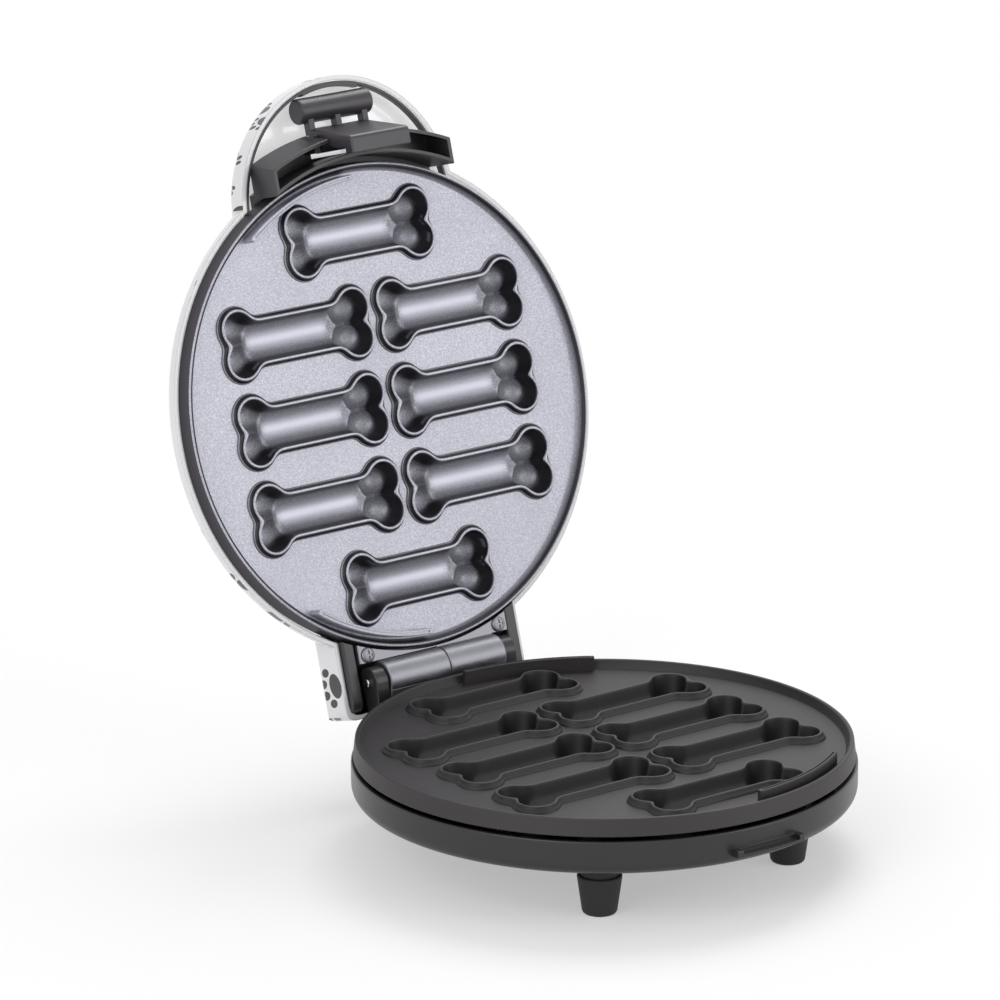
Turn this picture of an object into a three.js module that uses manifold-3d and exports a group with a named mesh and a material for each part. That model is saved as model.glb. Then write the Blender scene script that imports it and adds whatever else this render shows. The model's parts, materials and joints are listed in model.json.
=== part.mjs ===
// Countertop treat maker: a round hinged cooker that bakes eight bone-shaped biscuits.
// Millimetres, +Z up. Left and right follow +X, and the hinge is at the rear, +Y.
// Every piece is drawn with the lid shut, around the parting plane where the two plates meet:
// z = 0 is that plane and the vertical axis of the plates is the z axis. The lid then turns back
// about its hinge to the open pose, and the whole cooker is set on its feet.

import * as THREE from 'three';
import { mergeVertices } from 'three/addons/utils/BufferGeometryUtils.js';
import Module from 'manifold-3d';

const wasm = await Module();
wasm.setup();

// Overall stance
const openDegrees = 106.3;
const hingeRise = 1; // hinge axis above the parting plane
const clearance = 0.3; // between pieces that touch or nest
const overrun = 1; // how far a cutter passes the face that it cuts

// Bone wells
const boneLength = 75; // over the collar's crest
const boneLobeRadius = 8.4;
const boneLobeSpread = 6.6; // from the bone's middle line to a lobe's centre
const boneShankHalf = 9.4;
const boneFillet = 6;
const wellRowGap = 6.3; // between the bones of two rows
const wellColumnGap = 3.6; // between the two bones of a row
const collarHeight = 2.8;
const collarSlope = 2.6;
const collarCrest = 1.2;
const wellDepth = 10; // below the cooking face
const wellFloorBevel = 3.4;
const wellWall = 2;

// Cast plates, the same casting below and above
const plateMargin = 7.223; // from the farthest lobe of a bone out to the rim's crest
const crestHalfWidth = 0.9;
const rimInnerSlope = 1.6;
const rimEdgeChamfer = 0.6;
const flatDepth = 3.6; // from the rim's crest down to the cooking face
const plateThickness = 2;
const plateRimDepth = 7.4;
const plateRimDraft = 0.9;
const plateFlangeWall = 2.6;
const ribHeight = 2.6;
const ribWidth = 2.4;
const ribGap = 0.6; // between a rib and the rim beside it
const ribStartDegrees = 54;
const ribEndDegrees = 89;
const plateBossRadius = 4.5;
const plateBossDrop = 1.8;
const plateScrewDegrees = 47.73;
const plateScrewBite = 2.4;

// Bottom housing
const housingProud = 0.8; // beyond the plate's rim
const housingTopDrop = 9.1; // from the parting plane down to its top edge
const housingEdgeRound = 0.7;
const housingTurnIn = 2.4;
const housingTurnRise = 2.6; // height of the turn from its side to its slope
const housingSlopeRise = 4.4; // from its flat floor up to the turn
const housingFloorInset = 20.6; // from its side in to the edge of its flat floor
const housingWall = 2.2;

// Latch ledge on the front of the housing
const ledgeProud = 4.4;
const ledgeRise = 4.2; // its top above the foot of the housing's side
const ledgeHeight = 3;
const ledgeHalfWidth = 17;

// Feet, inset from the housing's side
const frontFootInset = 27;
const frontFootDegrees = 50.1;
const rearFootInset = 7.75;
const rearFootDegrees = 65.06;
const footHeight = 20.3;
const footFlangeRadius = 9.1;
const footNeckInset = 1.4; // from the flange's edge
const footTipInset = 2.2; // from the flange's edge
const footNeckHeight = 3.9;
const footTipRound = 1.6;
const footBossRadius = 3.7;
const footBossHeight = 4.5;
const footScrewBite = 6;

// Screws
const screwShankRadius = 1.6;
const screwHeadRadius = 3.2;
const screwHeadHeight = 1.7;

// Heaters and reflector pans
const heaterTubeRadius = 3.15;
const heaterGapDegrees = 16; // half of the gap between the two ends
const heaterPinRadius = 1.5;
const heaterPinLength = 7;
const panMargin = 8; // from the heater's circle out to the edge of the pan's flat
const panThickness = 0.6;
const panRimHeight = 3;
const panFootGap = 0.4; // between the pan and the bosses of the front feet
const panFloorGap = 2.1; // between the pan and the housing's floor
const panPadRadius = 3;
const panPadOffset = 2; // outside the heater's circle

// Controls inside the base
const thermostatRadius = 8;
const thermostatHeight = 5;
const thermostatEarRadius = 3;
const thermostatEarReach = 10.5;
const thermostatLeadY = 3; // its leads meet it this far either side of its middle
const fuseRadius = 2;
const fuseLength = 13;
const leadRadius = 1.2;
const leadDrop = 2.4; // lead below the floors of the wells
const glandDegrees = 52;
const glandBodyRadius = 4.6;
const glandFlangeRadius = 5.8;
const glandFlange = 2;
const glandBore = 3;
const glandReach = 5;

// Hinge
const knuckleRadius = 8;
const knuckleHalf = 30;
const knuckleSplitX = 1.2;
const knuckleGap = 1.3; // between the knuckles and the plates
const pinRadius = 1.9;
const pinEndReach = 1.1; // beyond the ears
const earThickness = 6.2;
const earRadius = 6.5;
const earFootInset = 6.6; // from the housing's side
const earFootStep = 0.6; // below the foot of the housing's side
const stopGap = 0.7; // between the stop and the open lid
const stopTopDrop = 12.6;
const stopBottomDrop = 17.2;
const padMargin = 0.5; // beyond the ears
const padProud = 0.4; // beyond the housing's side
const leafThickness = 2;
const leafDrop = 20;
const leafTopDrop = 1.5;
const leafScrewX = 22;
const leafScrewMidX = 7;
const leafScrewDrop = 15.5;
const leafScrewLength = 5;
const strapMargin = 2; // beyond the ears
const strapInset = 8.8; // from the plates' rim to its front edge
const strapLow = 1.2;
const strapScrewOffset = 4; // beyond the ends of the knuckles
const strapScrewGap = 0.43; // between a screw's head and the plates
const strapHeadHeight = 0.9;

// Lid shell
const shellProud = 3.2; // beyond the plates' rim
const shellEdgeRise = 5; // bottom edge of the shell above the parting plane
const shellSpringRise = 7; // where the crown springs from
const shellCrownRoom = 3.9; // how much taller the crown is than the heater and pan below it
const shellWall = 2;
const frontLobeRadius = 53.7;
const frontLobeRise = 18.5;
const frontLobeRound = 7;
const rearLobeRoom = 6.4; // behind the knuckles
const rearLobeRise = 22;
const rearLobeRound = 5;
const shellBossRadius = 4;

// Lid frame
const frameThickness = 2.5;
const frameInset = 5; // from the rim's crest in to its bore
const frameScrewInset = 5.8; // from its bore in to the plate screws
const frameTabRadius = 7;
const noseGap = 1.4; // between the nose and the housing
const noseDepth = 10; // from front to back
const noseFlare = 2.8; // extra radius of the front wall at its top
const noseDrop = 10;
const noseRoofRise = 7;
const noseCornerGap = 0.89; // between its front corners and the front lobe
const noseWall = 1.6;
const noseRoof = 2;
const hoopWidth = 1.3;
const hoopHeight = 3.4;
const hoopPadHalf = 14;
const hoopPadWidth = 2.2;
const cheekSideGap = 0.7; // between a cheek and the end of the strap
const cheekEndGap = 0.5; // between a cheek and the rear lobe
const cheekThickness = 5.5;
const cheekInset = 13.8; // from the plates' rim to its front end
const cheekLow = 2.5;
const cheekRound = 5;
const bridgeReach = 4.2; // behind the plates

// Latch, set out from its pivot
const latchPivotReach = 7.6; // from the back of the nose
const latchPivotRise = 1;
const latchHalf = 15;
const latchTipReach = 1.2;
const latchTopReach = 6.8;
const latchTopRise = 5.2;
const latchShoulderReach = 1;
const latchShoulderDrop = 8;
const latchInnerGap = 1.4; // between the lever and the ledge
const latchHookLength = 3;
const latchHookHeight = 5.5;
const latchBossRadius = 4;
const latchPinRadius = 1.5;
const latchLugWidth = 2.8;
const latchTipRound = 1.6;
const gripReach = 14.4;
const gripRise = 6.3;
const gripRadius = 5.4;
const gripHalf = 18.2;
const gripGap = 0.37; // between its ends and the hoop
const gripEndRound = 0.8;
const gripLegWidth = 2.6;
const gripLegLow = 2.4;
const gripLegHigh = 6.4;

// How finely round things are faceted
const ringSides = 48;
const rodSides = 12;
const footSides = 14;
const screwSides = 8;
const tubeSides = 6;
const leadSides = 5;
const lobeSteps = 4;
const filletSteps = 1;
const heaterSteps = 26;
const leadSteps = 9;
const crownSteps = 6;
const roundSteps = 3;
const mergeShare = 1e-5; // of the crest radius: closer points are one point

// Plates that follow from the bones
const boneLobeX = boneLength / 2 - boneLobeRadius;
const wellRowPitch = 2 * (boneLobeSpread + boneLobeRadius) + wellRowGap;
const wellColumnX = (boneLength + wellColumnGap) / 2;
const boneReach = boneLobeRadius + Math.max(
  Math.hypot(boneLobeX, 2 * wellRowPitch + boneLobeSpread),
  Math.hypot(wellColumnX + boneLobeX, wellRowPitch + boneLobeSpread),
);
const crestRadius = boneReach + plateMargin;
const plateOuterRadius = crestRadius + crestHalfWidth + plateRimDraft;
const flatRadius = crestRadius - crestHalfWidth - rimInnerSlope;
const plateBackDrop = flatDepth + plateThickness;
const wellFloorDrop = flatDepth + wellDepth;
const wellBottomDrop = wellFloorDrop + wellWall;
const frameInnerRadius = crestRadius - frameInset;
const [plateScrewX, plateScrewY] = onCircle(frameInnerRadius - frameScrewInset, plateScrewDegrees);

// Heights that follow, down from the parting plane
const heaterDrop = wellBottomDrop + clearance + heaterTubeRadius;
const panTopDrop = heaterDrop + heaterTubeRadius + clearance;
const housingInnerFloorDrop = panTopDrop + panThickness + panFloorGap;
const housingFloorDrop = housingInnerFloorDrop + housingWall;
const housingTurnDrop = housingFloorDrop - housingSlopeRise;
const housingSideDrop = housingTurnDrop - housingTurnRise;
const plateHeadSeatDrop = housingTurnDrop - screwHeadHeight; // roof of the plate screws' bores
const earFootDrop = housingSideDrop + earFootStep;
const ledgeTopDrop = housingSideDrop - ledgeRise;
const glandDrop = (housingTopDrop + housingSideDrop) / 2;
const leadLevelDrop = wellBottomDrop + leadDrop;
const footTopDrop = housingFloorDrop + clearance;
const footBossTopDrop = housingInnerFloorDrop - footBossHeight;
const partingHeight = footTopDrop + footHeight; // from the table to the parting plane
const latchHookDrop = ledgeTopDrop + ledgeHeight + clearance;
const latchTipDrop = latchHookDrop + latchHookHeight;

// The rest of the base
const housingRadius = plateOuterRadius + housingProud;
const housingFloorRadius = housingRadius - housingFloorInset;
const frontFootCircle = housingRadius - frontFootInset;
const [frontFootX, frontFootY] = onCircle(frontFootCircle, frontFootDegrees);
const [rearFootX, rearFootY] = onCircle(housingRadius - rearFootInset, rearFootDegrees);
const footNeckRadius = footFlangeRadius - footNeckInset;
const footTipRadius = footFlangeRadius - footTipInset;
const panRadius = frontFootCircle - footBossRadius - panFootGap - panRimHeight / 2;
const heaterCircle = panRadius - panMargin;
const panPadCircle = heaterCircle + panPadOffset;
const padY = housingRadius + padProud;
const earFootY = housingRadius - earFootInset;
const earInnerX = knuckleHalf + clearance;
const earOuterX = earInnerX + earThickness;
const padHalf = earOuterX + padMargin;
const pinHalf = earOuterX + pinEndReach;
const hingeBack = plateOuterRadius + knuckleGap + knuckleRadius; // hinge axis behind the plates' centre

// The rest of the lid
const shellRadius = plateOuterRadius + shellProud;
const shellCrown = panTopDrop + panThickness + shellCrownRoom;
const shellInnerRadius = shellRadius - shellWall;
const shellInnerCrown = shellCrown - shellWall;
const lobeInnerRadius = frontLobeRadius - shellWall;
const frameLow = plateBackDrop + plateBossDrop + 2 * clearance;
const frameHigh = frameLow + frameThickness;
const frameOuterRadius = crownRadius(frameHigh, shellInnerRadius, shellInnerCrown) - clearance;
const bridgeRear = plateOuterRadius + bridgeReach;
const strapHalf = earOuterX + strapMargin;
const strapFront = plateOuterRadius - strapInset;
const strapHigh = frameLow - clearance;
const strapScrewX = knuckleHalf + strapScrewOffset;
const strapScrewCircle = plateOuterRadius + strapScrewGap + screwHeadRadius;
const strapScrewY = Math.sqrt(strapScrewCircle ** 2 - strapScrewX ** 2);
const strapHoleTop = rearLobeRise - shellWall - clearance;
const cheekInner = strapHalf + cheekSideGap;
const cheekOuter = cheekInner + cheekThickness;
const cheekFront = plateOuterRadius - cheekInset;
const rearLobeHalf = cheekOuter + clearance + shellWall;
const rearLobeY = hingeBack + knuckleRadius + rearLobeRoom;
const rearLobeStart = shellRadius / 2; // its front end, hidden in the dome
const cheekRear = rearLobeY - shellWall - cheekEndGap;

// The latch and the nose, and the front lobe around them
const noseInnerRadius = housingRadius + noseGap;
const noseOuterRadius = noseInnerRadius + noseDepth;
const latchPivotY = noseInnerRadius + latchPivotReach;
const latchTipY = latchPivotY + latchTipReach;
const latchTopY = latchPivotY + latchTopReach;
const latchShoulderY = latchPivotY - latchShoulderReach;
const latchInnerY = housingRadius + ledgeProud + latchInnerGap;
const latchHookY = latchInnerY - latchHookLength;
const latchPinHalf = latchHalf + 2 * clearance + latchLugWidth;
const gripY = latchPivotY + gripReach;
const gripRoomRadius = lobeInnerRadius - hoopWidth - gripGap;
const frontLobeY = gripY + gripRadius - Math.sqrt(gripRoomRadius ** 2 - gripHalf ** 2);
const noseTopRadius = noseOuterRadius + noseFlare;
const noseCornerY = circlesMeetY(noseTopRadius, lobeInnerRadius - noseCornerGap, frontLobeY);
const noseHalf = Math.sqrt(noseTopRadius ** 2 - noseCornerY ** 2);

// The stop that the open lid's rear edge comes down to
const openAngle = THREE.MathUtils.degToRad(openDegrees);
const edgeBack = rearLobeY - hingeBack;
const edgeRise = shellEdgeRise - hingeRise;
const openEdgeY = edgeBack * Math.cos(openAngle) + edgeRise * Math.sin(openAngle);
const stopReach = stopGap - openEdgeY; // from the hinge axis forward to the stop's face

// Solids and booleans

function solidOf(geometry) {
  const bare = geometry.clone();
  bare.deleteAttribute('normal');
  bare.deleteAttribute('uv');
  const merged = mergeVertices(bare, crestRadius * mergeShare);
  const index = merged.index.array;
  const triVerts = [];
  for (let i = 0; i < index.length; i += 3) {
    const [a, b, c] = [index[i], index[i + 1], index[i + 2]];
    if (a !== b && b !== c && c !== a) triVerts.push(a, b, c);
  }
  return new wasm.Manifold(new wasm.Mesh({
    numProp: 3,
    vertProperties: new Float32Array(merged.attributes.position.array),
    triVerts: new Uint32Array(triVerts),
  }));
}

function geometryOf(solid) {
  const mesh = solid.getMesh();
  const geometry = new THREE.BufferGeometry();
  geometry.setAttribute('position', new THREE.BufferAttribute(mesh.vertProperties, 3));
  geometry.setIndex(new THREE.BufferAttribute(mesh.triVerts, 1));
  return geometry;
}

function join(...geometries) {
  return geometryOf(geometries.map(solidOf).reduce((whole, next) => whole.add(next)));
}

function cut(geometry, ...cutters) {
  return geometryOf(cutters.map(solidOf).reduce((whole, next) => whole.subtract(next), solidOf(geometry)));
}

function common(geometry, other) {
  return geometryOf(solidOf(geometry).intersect(solidOf(other)));
}

// Basic shapes

function block(x0, x1, y0, y1, z0, z1) {
  return new THREE.BoxGeometry(x1 - x0, y1 - y0, z1 - z0)
    .translate((x0 + x1) / 2, (y0 + y1) / 2, (z0 + z1) / 2);
}

// A profile of [radius, height] points, anticlockwise, turned about the z axis.
function revolve(profile, sides = ringSides) {
  const points = profile.map(([radius, height]) => new THREE.Vector2(radius, height));
  return new THREE.LatheGeometry(points, sides).rotateX(Math.PI / 2);
}

function ring(inner, outer, low, high, sides = ringSides) {
  return revolve([[inner, low], [outer, low], [outer, high], [inner, high], [inner, low]], sides);
}

function uprightRod(radius, x, y, z0, z1, sides = rodSides) {
  return new THREE.CylinderGeometry(radius, radius, z1 - z0, sides)
    .rotateX(Math.PI / 2)
    .translate(x, y, (z0 + z1) / 2);
}

function crossRod(radius, x0, x1, y, z, sides = rodSides) {
  return new THREE.CylinderGeometry(radius, radius, x1 - x0, sides)
    .rotateZ(Math.PI / 2)
    .translate((x0 + x1) / 2, y, z);
}

// A side view of [y, z] points carried across from x0 to x1.
function crossPrism(sideView, x0, x1) {
  const shape = new THREE.Shape(sideView.map(([y, z]) => new THREE.Vector2(y, z)));
  const toSide = new THREE.Matrix4().makeBasis(
    new THREE.Vector3(0, 1, 0),
    new THREE.Vector3(0, 0, 1),
    new THREE.Vector3(1, 0, 0),
  );
  return new THREE.ExtrudeGeometry(shape, { depth: x1 - x0, bevelEnabled: false })
    .applyMatrix4(toSide)
    .translate(x0, 0, 0);
}

// The same for a piece that lies on one side, from its inner to its outer distance from the middle.
function sidePrism(sideView, side, inner, outer) {
  return crossPrism(sideView, Math.min(side * inner, side * outer), Math.max(side * inner, side * outer));
}

function arc(x, y, radius, fromAngle, toAngle, steps) {
  return Array.from({ length: steps + 1 }, (_, step) => {
    const angle = fromAngle + (toAngle - fromAngle) * step / steps;
    return [x + radius * Math.cos(angle), y + radius * Math.sin(angle)];
  });
}

function tube(curve, radius, steps, sides = tubeSides) {
  const section = new THREE.Shape(arc(0, 0, radius, 0, Math.PI * 2, sides).slice(1)
    .map(([x, y]) => new THREE.Vector2(x, y)));
  return new THREE.ExtrudeGeometry(section, { steps, bevelEnabled: false, extrudePath: curve });
}

function lead(points) {
  const curve = new THREE.CatmullRomCurve3(points.map(([x, y, z]) => new THREE.Vector3(x, y, z)));
  return tube(curve, leadRadius, leadSteps, leadSides);
}

// A pan-head screw on the z axis, its head below the height of its seat and its tip above.
function screw(seat, tip, headHeight = screwHeadHeight) {
  return revolve([
    [0, seat - headHeight],
    [screwHeadRadius - headHeight / 2, seat - headHeight],
    [screwHeadRadius, seat - headHeight / 2],
    [screwHeadRadius, seat],
    [screwShankRadius, seat],
    [screwShankRadius, tip],
    [0, tip],
  ], screwSides);
}

function screwHole(x, y, z0, z1) {
  return uprightRod(screwShankRadius + clearance, x, y, z0, z1, screwSides);
}

function headBore(x, y, z0, z1) {
  return uprightRod(screwHeadRadius + clearance, x, y, z0, z1, screwSides);
}

function onCircle(radius, degrees) {
  const angle = THREE.MathUtils.degToRad(degrees);
  return [radius * Math.cos(angle), radius * Math.sin(angle)];
}

// How far forward a circle around the plates' centre meets another whose centre is otherY forward.
function circlesMeetY(radius, otherRadius, otherY) {
  return (radius ** 2 - otherRadius ** 2 + otherY ** 2) / (2 * otherY);
}

// The four places of a pattern that is alike on all sides.
function corners(x, y) {
  return [[-x, -y], [x, -y], [-x, y], [x, y]];
}

// What the lid holds above the parting plane mirrors what the base holds below it.
function overturned(geometry) {
  return geometry.rotateY(Math.PI);
}

// Plates

// Bone outline grown by offset: two lobes at each end, a shallow notch between them, and a
// straight shank that runs into the lobes through hollow fillets.
function boneOutline(offset = 0) {
  const lobe = boneLobeRadius + offset;
  const shank = boneShankHalf + offset;
  const fillet = boneFillet - offset;
  const rise = shank + fillet - boneLobeSpread;
  const reach = Math.sqrt((lobe + fillet) ** 2 - rise ** 2);
  const towardsFillet = Math.atan2(rise, -reach);
  const notch = -Math.acos(Math.min(1, boneLobeSpread / lobe)) + Math.PI / 2;
  const filletX = boneLobeX - reach;
  const filletY = shank + fillet;
  const quarter = [
    ...arc(boneLobeX, boneLobeSpread, lobe, -notch, towardsFillet, lobeSteps),
    ...arc(filletX, filletY, fillet, towardsFillet - Math.PI, -Math.PI / 2, filletSteps).slice(1),
  ];
  const half = [...quarter, ...quarter.map(([x, y]) => [-x, y]).reverse()];
  return [...half, ...half.map(([x, y]) => [x, -y]).reverse().slice(1, -1)];
}

function wellPlaces() {
  const pairs = [-1, 0, 1].flatMap((row) => [
    [-wellColumnX, row * wellRowPitch],
    [wellColumnX, row * wellRowPitch],
  ]);
  return [[0, -2 * wellRowPitch], ...pairs, [0, 2 * wellRowPitch]];
}

function bonePrism(outline, low, high) {
  const shape = new THREE.Shape(outline.map(([x, y]) => new THREE.Vector2(x, y)));
  return new THREE.ExtrudeGeometry(shape, { depth: high - low, bevelEnabled: false }).translate(0, 0, low);
}

// A bone block between two heights whose long edges are bevelled by slope over rise.
function boneBlock(outline, low, high, slope, rise) {
  const shape = new THREE.Shape(outline.map(([x, y]) => new THREE.Vector2(x, y)));
  return new THREE.ExtrudeGeometry(shape, {
    depth: high - low - 2 * rise,
    bevelEnabled: true,
    bevelThickness: rise,
    bevelSize: slope,
    bevelOffset: -slope,
    bevelSegments: 1,
  }).translate(0, 0, low + rise);
}

function rib(fromDegrees, toDegrees) {
  const outer = crestRadius - crestHalfWidth - rimInnerSlope - ribGap;
  const band = ring(outer - ribWidth, outer, -flatDepth - overrun, ribHeight);
  const sector = [fromDegrees, (fromDegrees + toDegrees) / 2, toDegrees].map((degrees) => {
    const angle = THREE.MathUtils.degToRad(degrees);
    return new THREE.Vector2(Math.cos(angle), Math.sin(angle)).multiplyScalar(2 * crestRadius);
  });
  const wedge = new THREE.ExtrudeGeometry(new THREE.Shape([new THREE.Vector2(0, 0), ...sector]), {
    depth: 2 * (flatDepth + ribHeight),
    bevelEnabled: false,
  }).translate(0, 0, -flatDepth - ribHeight);
  return common(band, wedge);
}

function castPlate() {
  const disc = revolve([
    [0, -plateBackDrop],
    [plateOuterRadius - plateFlangeWall, -plateBackDrop],
    [plateOuterRadius - plateFlangeWall, -plateRimDepth],
    [plateOuterRadius, -plateRimDepth],
    [crestRadius + crestHalfWidth, -rimEdgeChamfer],
    [crestRadius + crestHalfWidth - rimEdgeChamfer, 0],
    [crestRadius - crestHalfWidth, 0],
    [flatRadius, -flatDepth],
    [0, -flatDepth],
  ]);
  const places = wellPlaces();
  const collars = places.map(([x, y]) => boneBlock(
    boneOutline(collarSlope),
    -flatDepth - collarHeight, -flatDepth + collarHeight,
    collarSlope, collarHeight,
  ).translate(x, y, 0));
  const bulges = places.map(([x, y]) => bonePrism(
    boneOutline(), -wellBottomDrop, -flatDepth - plateThickness / 2,
  ).translate(x, y, 0));
  const bosses = corners(plateScrewX, plateScrewY).map(([x, y]) => (
    uprightRod(plateBossRadius, x, y, -plateBackDrop - plateBossDrop, -flatDepth - plateThickness / 2)
  ));
  const ribs = [rib(ribStartDegrees, ribEndDegrees), rib(-ribEndDegrees, -ribStartDegrees)];
  const raised = common(join(...collars), revolve([
    [0, -flatDepth - plateThickness / 2],
    [plateOuterRadius, -flatDepth - plateThickness / 2],
    [plateOuterRadius, 0],
    [0, 0],
  ]));
  const body = join(disc, raised, ...bulges, ...bosses, ...ribs);
  const cavities = places.map(([x, y]) => boneBlock(
    boneOutline(-collarCrest), -wellFloorDrop, wellDepth, wellFloorBevel, wellFloorBevel,
  ).translate(x, y, 0));
  const bossDrop = plateBackDrop + plateBossDrop;
  const holes = corners(plateScrewX, plateScrewY).map(([x, y]) => (
    screwHole(x, y, -bossDrop - overrun, -bossDrop + plateScrewBite + clearance)
  ));
  return cut(body, ...cavities, ...holes);
}

// Heaters and pans

class HeaterArc extends THREE.Curve {
  getPoint(t) {
    const gap = THREE.MathUtils.degToRad(heaterGapDegrees);
    const angle = Math.PI / 2 + gap + t * (2 * Math.PI - 2 * gap);
    return new THREE.Vector3(heaterCircle * Math.cos(angle), heaterCircle * Math.sin(angle), -heaterDrop);
  }
}

// Half the width between the heater's ends, and how far back they lie.
const heaterEndX = heaterCircle * Math.sin(THREE.MathUtils.degToRad(heaterGapDegrees));
const heaterEndY = heaterCircle * Math.cos(THREE.MathUtils.degToRad(heaterGapDegrees));
const heaterPinTipX = heaterEndX - heaterPinLength;

function heater() {
  const pins = [-1, 1].map((side) => crossRod(
    heaterPinRadius,
    Math.min(side * heaterPinTipX, side * (heaterEndX + heaterPinRadius)),
    Math.max(side * heaterPinTipX, side * (heaterEndX + heaterPinRadius)),
    heaterEndY, -heaterDrop, screwSides,
  ));
  return join(tube(new HeaterArc(), heaterTubeRadius, heaterSteps), ...pins);
}

// Three stubs that the pan lies on, down to the given depth below the parting plane.
function panPads(depth = housingFloorDrop - housingWall / 2) {
  return [0, 1, 2].map((turn) => {
    const angle = Math.PI / 2 + turn * Math.PI * 2 / 3;
    return uprightRod(
      panPadRadius, panPadCircle * Math.cos(angle), panPadCircle * Math.sin(angle),
      -depth, -panTopDrop - panThickness - clearance,
    );
  });
}

function reflectorPan() {
  const bottom = -panTopDrop - panThickness;
  return revolve([
    [0, bottom],
    [panRadius, bottom],
    [panRadius + panRimHeight / 2, bottom + panRimHeight],
    [panRadius + panRimHeight / 2 - panThickness, bottom + panRimHeight],
    [panRadius - panThickness, bottom + panThickness],
    [0, bottom + panThickness],
  ], ringSides / 2);
}

// Base

function housingSlopeDrop(radius) {
  const share = (radius - housingFloorRadius) / (housingRadius - housingTurnIn - housingFloorRadius);
  return housingFloorDrop - Math.max(0, share) * (housingFloorDrop - housingTurnDrop);
}

// The rear feet stand wide behind the plates, under the weight of the raised lid.
function footPlaces() {
  return [
    [-frontFootX, -frontFootY],
    [frontFootX, -frontFootY],
    [-rearFootX, rearFootY],
    [rearFootX, rearFootY],
  ];
}

function bottomHousing() {
  const bowl = revolve([
    [0, -housingFloorDrop],
    [housingFloorRadius, -housingFloorDrop],
    [housingRadius - housingTurnIn, -housingTurnDrop],
    [housingRadius - housingEdgeRound, -(housingSideDrop + housingTurnDrop) / 2],
    [housingRadius, -housingSideDrop],
    [housingRadius, -housingTopDrop - housingEdgeRound],
    [housingRadius - housingEdgeRound, -housingTopDrop],
    [housingRadius - housingWall, -housingTopDrop],
    [housingRadius - housingWall, -housingSideDrop],
    [housingRadius - housingTurnIn - housingWall, -housingTurnDrop + housingWall],
    [housingFloorRadius, -housingInnerFloorDrop],
    [0, -housingInnerFloorDrop],
  ]);
  const ledgeBand = ring(
    housingRadius - housingWall / 2, housingRadius + ledgeProud,
    -ledgeTopDrop - ledgeHeight, -ledgeTopDrop,
  );
  const ledgeSpan = block(
    -ledgeHalfWidth, ledgeHalfWidth,
    -housingRadius - 2 * ledgeProud, 0,
    -housingFloorDrop, 0,
  );
  const posts = corners(plateScrewX, plateScrewY).map(([x, y]) => uprightRod(
    plateBossRadius, x, y,
    -housingSlopeDrop(Math.hypot(x, y)) + housingWall / 2,
    -plateBackDrop - plateBossDrop - clearance,
  ));
  const footBosses = footPlaces().map(([x, y]) => uprightRod(
    footBossRadius, x, y, -housingFloorDrop + housingWall / 2, -footBossTopDrop,
  ));
  const footPads = footPlaces().map(([x, y]) => uprightRod(
    footNeckRadius, x, y, -housingFloorDrop,
    -housingSlopeDrop(Math.hypot(x, y) + footNeckRadius) + housingWall / 2,
  ));
  const rearPad = cut(
    block(-padHalf, padHalf, earFootY - housingWall, padY, -housingTurnDrop, -housingTopDrop),
    revolve([
      [0, -housingFloorDrop],
      [housingRadius - housingWall, -housingFloorDrop],
      [housingRadius - housingWall, 0],
      [0, 0],
    ]),
  );
  const earView = [
    [earFootY, -earFootDrop],
    [padY, -earFootDrop],
    [hingeBack - stopReach, -stopBottomDrop],
    [hingeBack - stopReach, -stopTopDrop],
    ...arc(hingeBack, hingeRise, earRadius, -Math.PI / 3, Math.PI, 2 * rodSides / 3),
    [padY, -housingTopDrop],
    [earFootY, -housingTopDrop],
  ];
  const ears = [-1, 1].map((side) => cut(
    sidePrism(earView, side, earInnerX, earOuterX),
    revolve([
      [0, -housingFloorDrop],
      [housingRadius - housingWall / 2, -housingFloorDrop],
      [housingRadius - housingWall / 2, 0],
      [0, 0],
    ]),
  ));
  const glandAngle = THREE.MathUtils.degToRad(glandDegrees);
  const glandHole = crossRod(
    glandBodyRadius + clearance,
    housingRadius - housingWall - overrun, housingRadius + overrun,
    0, -glandDrop,
  ).rotateZ(glandAngle);
  const holes = [
    glandHole,
    crossRod(pinRadius + clearance, -earOuterX - overrun, earOuterX + overrun, hingeBack, hingeRise),
    ...corners(plateScrewX, plateScrewY).flatMap(([x, y]) => [
      screwHole(x, y, -housingFloorDrop - overrun, -plateBackDrop),
      headBore(x, y, -housingFloorDrop - overrun, -plateHeadSeatDrop),
    ]),
    ...footPlaces().map(([x, y]) => (
      screwHole(x, y, -housingFloorDrop - overrun, -footBossTopDrop + overrun)
    )),
    ...leafScrewPlaces().map((x) => leafScrewHole(x, padY - leafScrewLength - clearance, padY + overrun)),
  ];
  const ledge = common(ledgeBand, ledgeSpan);
  return cut(
    join(bowl, ledge, ...posts, ...footPads, ...footBosses, ...panPads(), rearPad, ...ears),
    ...holes,
  );
}

function foot() {
  const top = -footTopDrop;
  const profile = [
    [0, -partingHeight],
    [footTipRadius - footTipRound, -partingHeight],
    [footTipRadius, -partingHeight + footTipRound],
    [footFlangeRadius, top - footNeckHeight - footTipRound / 2],
    [footFlangeRadius - footTipRound / 2, top - footNeckHeight],
    [footNeckRadius, top - footNeckHeight],
    [footNeckRadius, top],
    [0, top],
  ];
  return cut(
    revolve(profile, footSides),
    screwHole(0, 0, top - footScrewBite - clearance, top + overrun),
  );
}

// The foot screws go in from inside the housing, head up.
function footScrew() {
  return overturned(screw(footBossTopDrop - clearance, footTopDrop + footScrewBite));
}

function lowerPlateScrew() {
  return screw(-plateHeadSeatDrop - clearance, -plateBackDrop - plateBossDrop + plateScrewBite);
}

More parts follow.
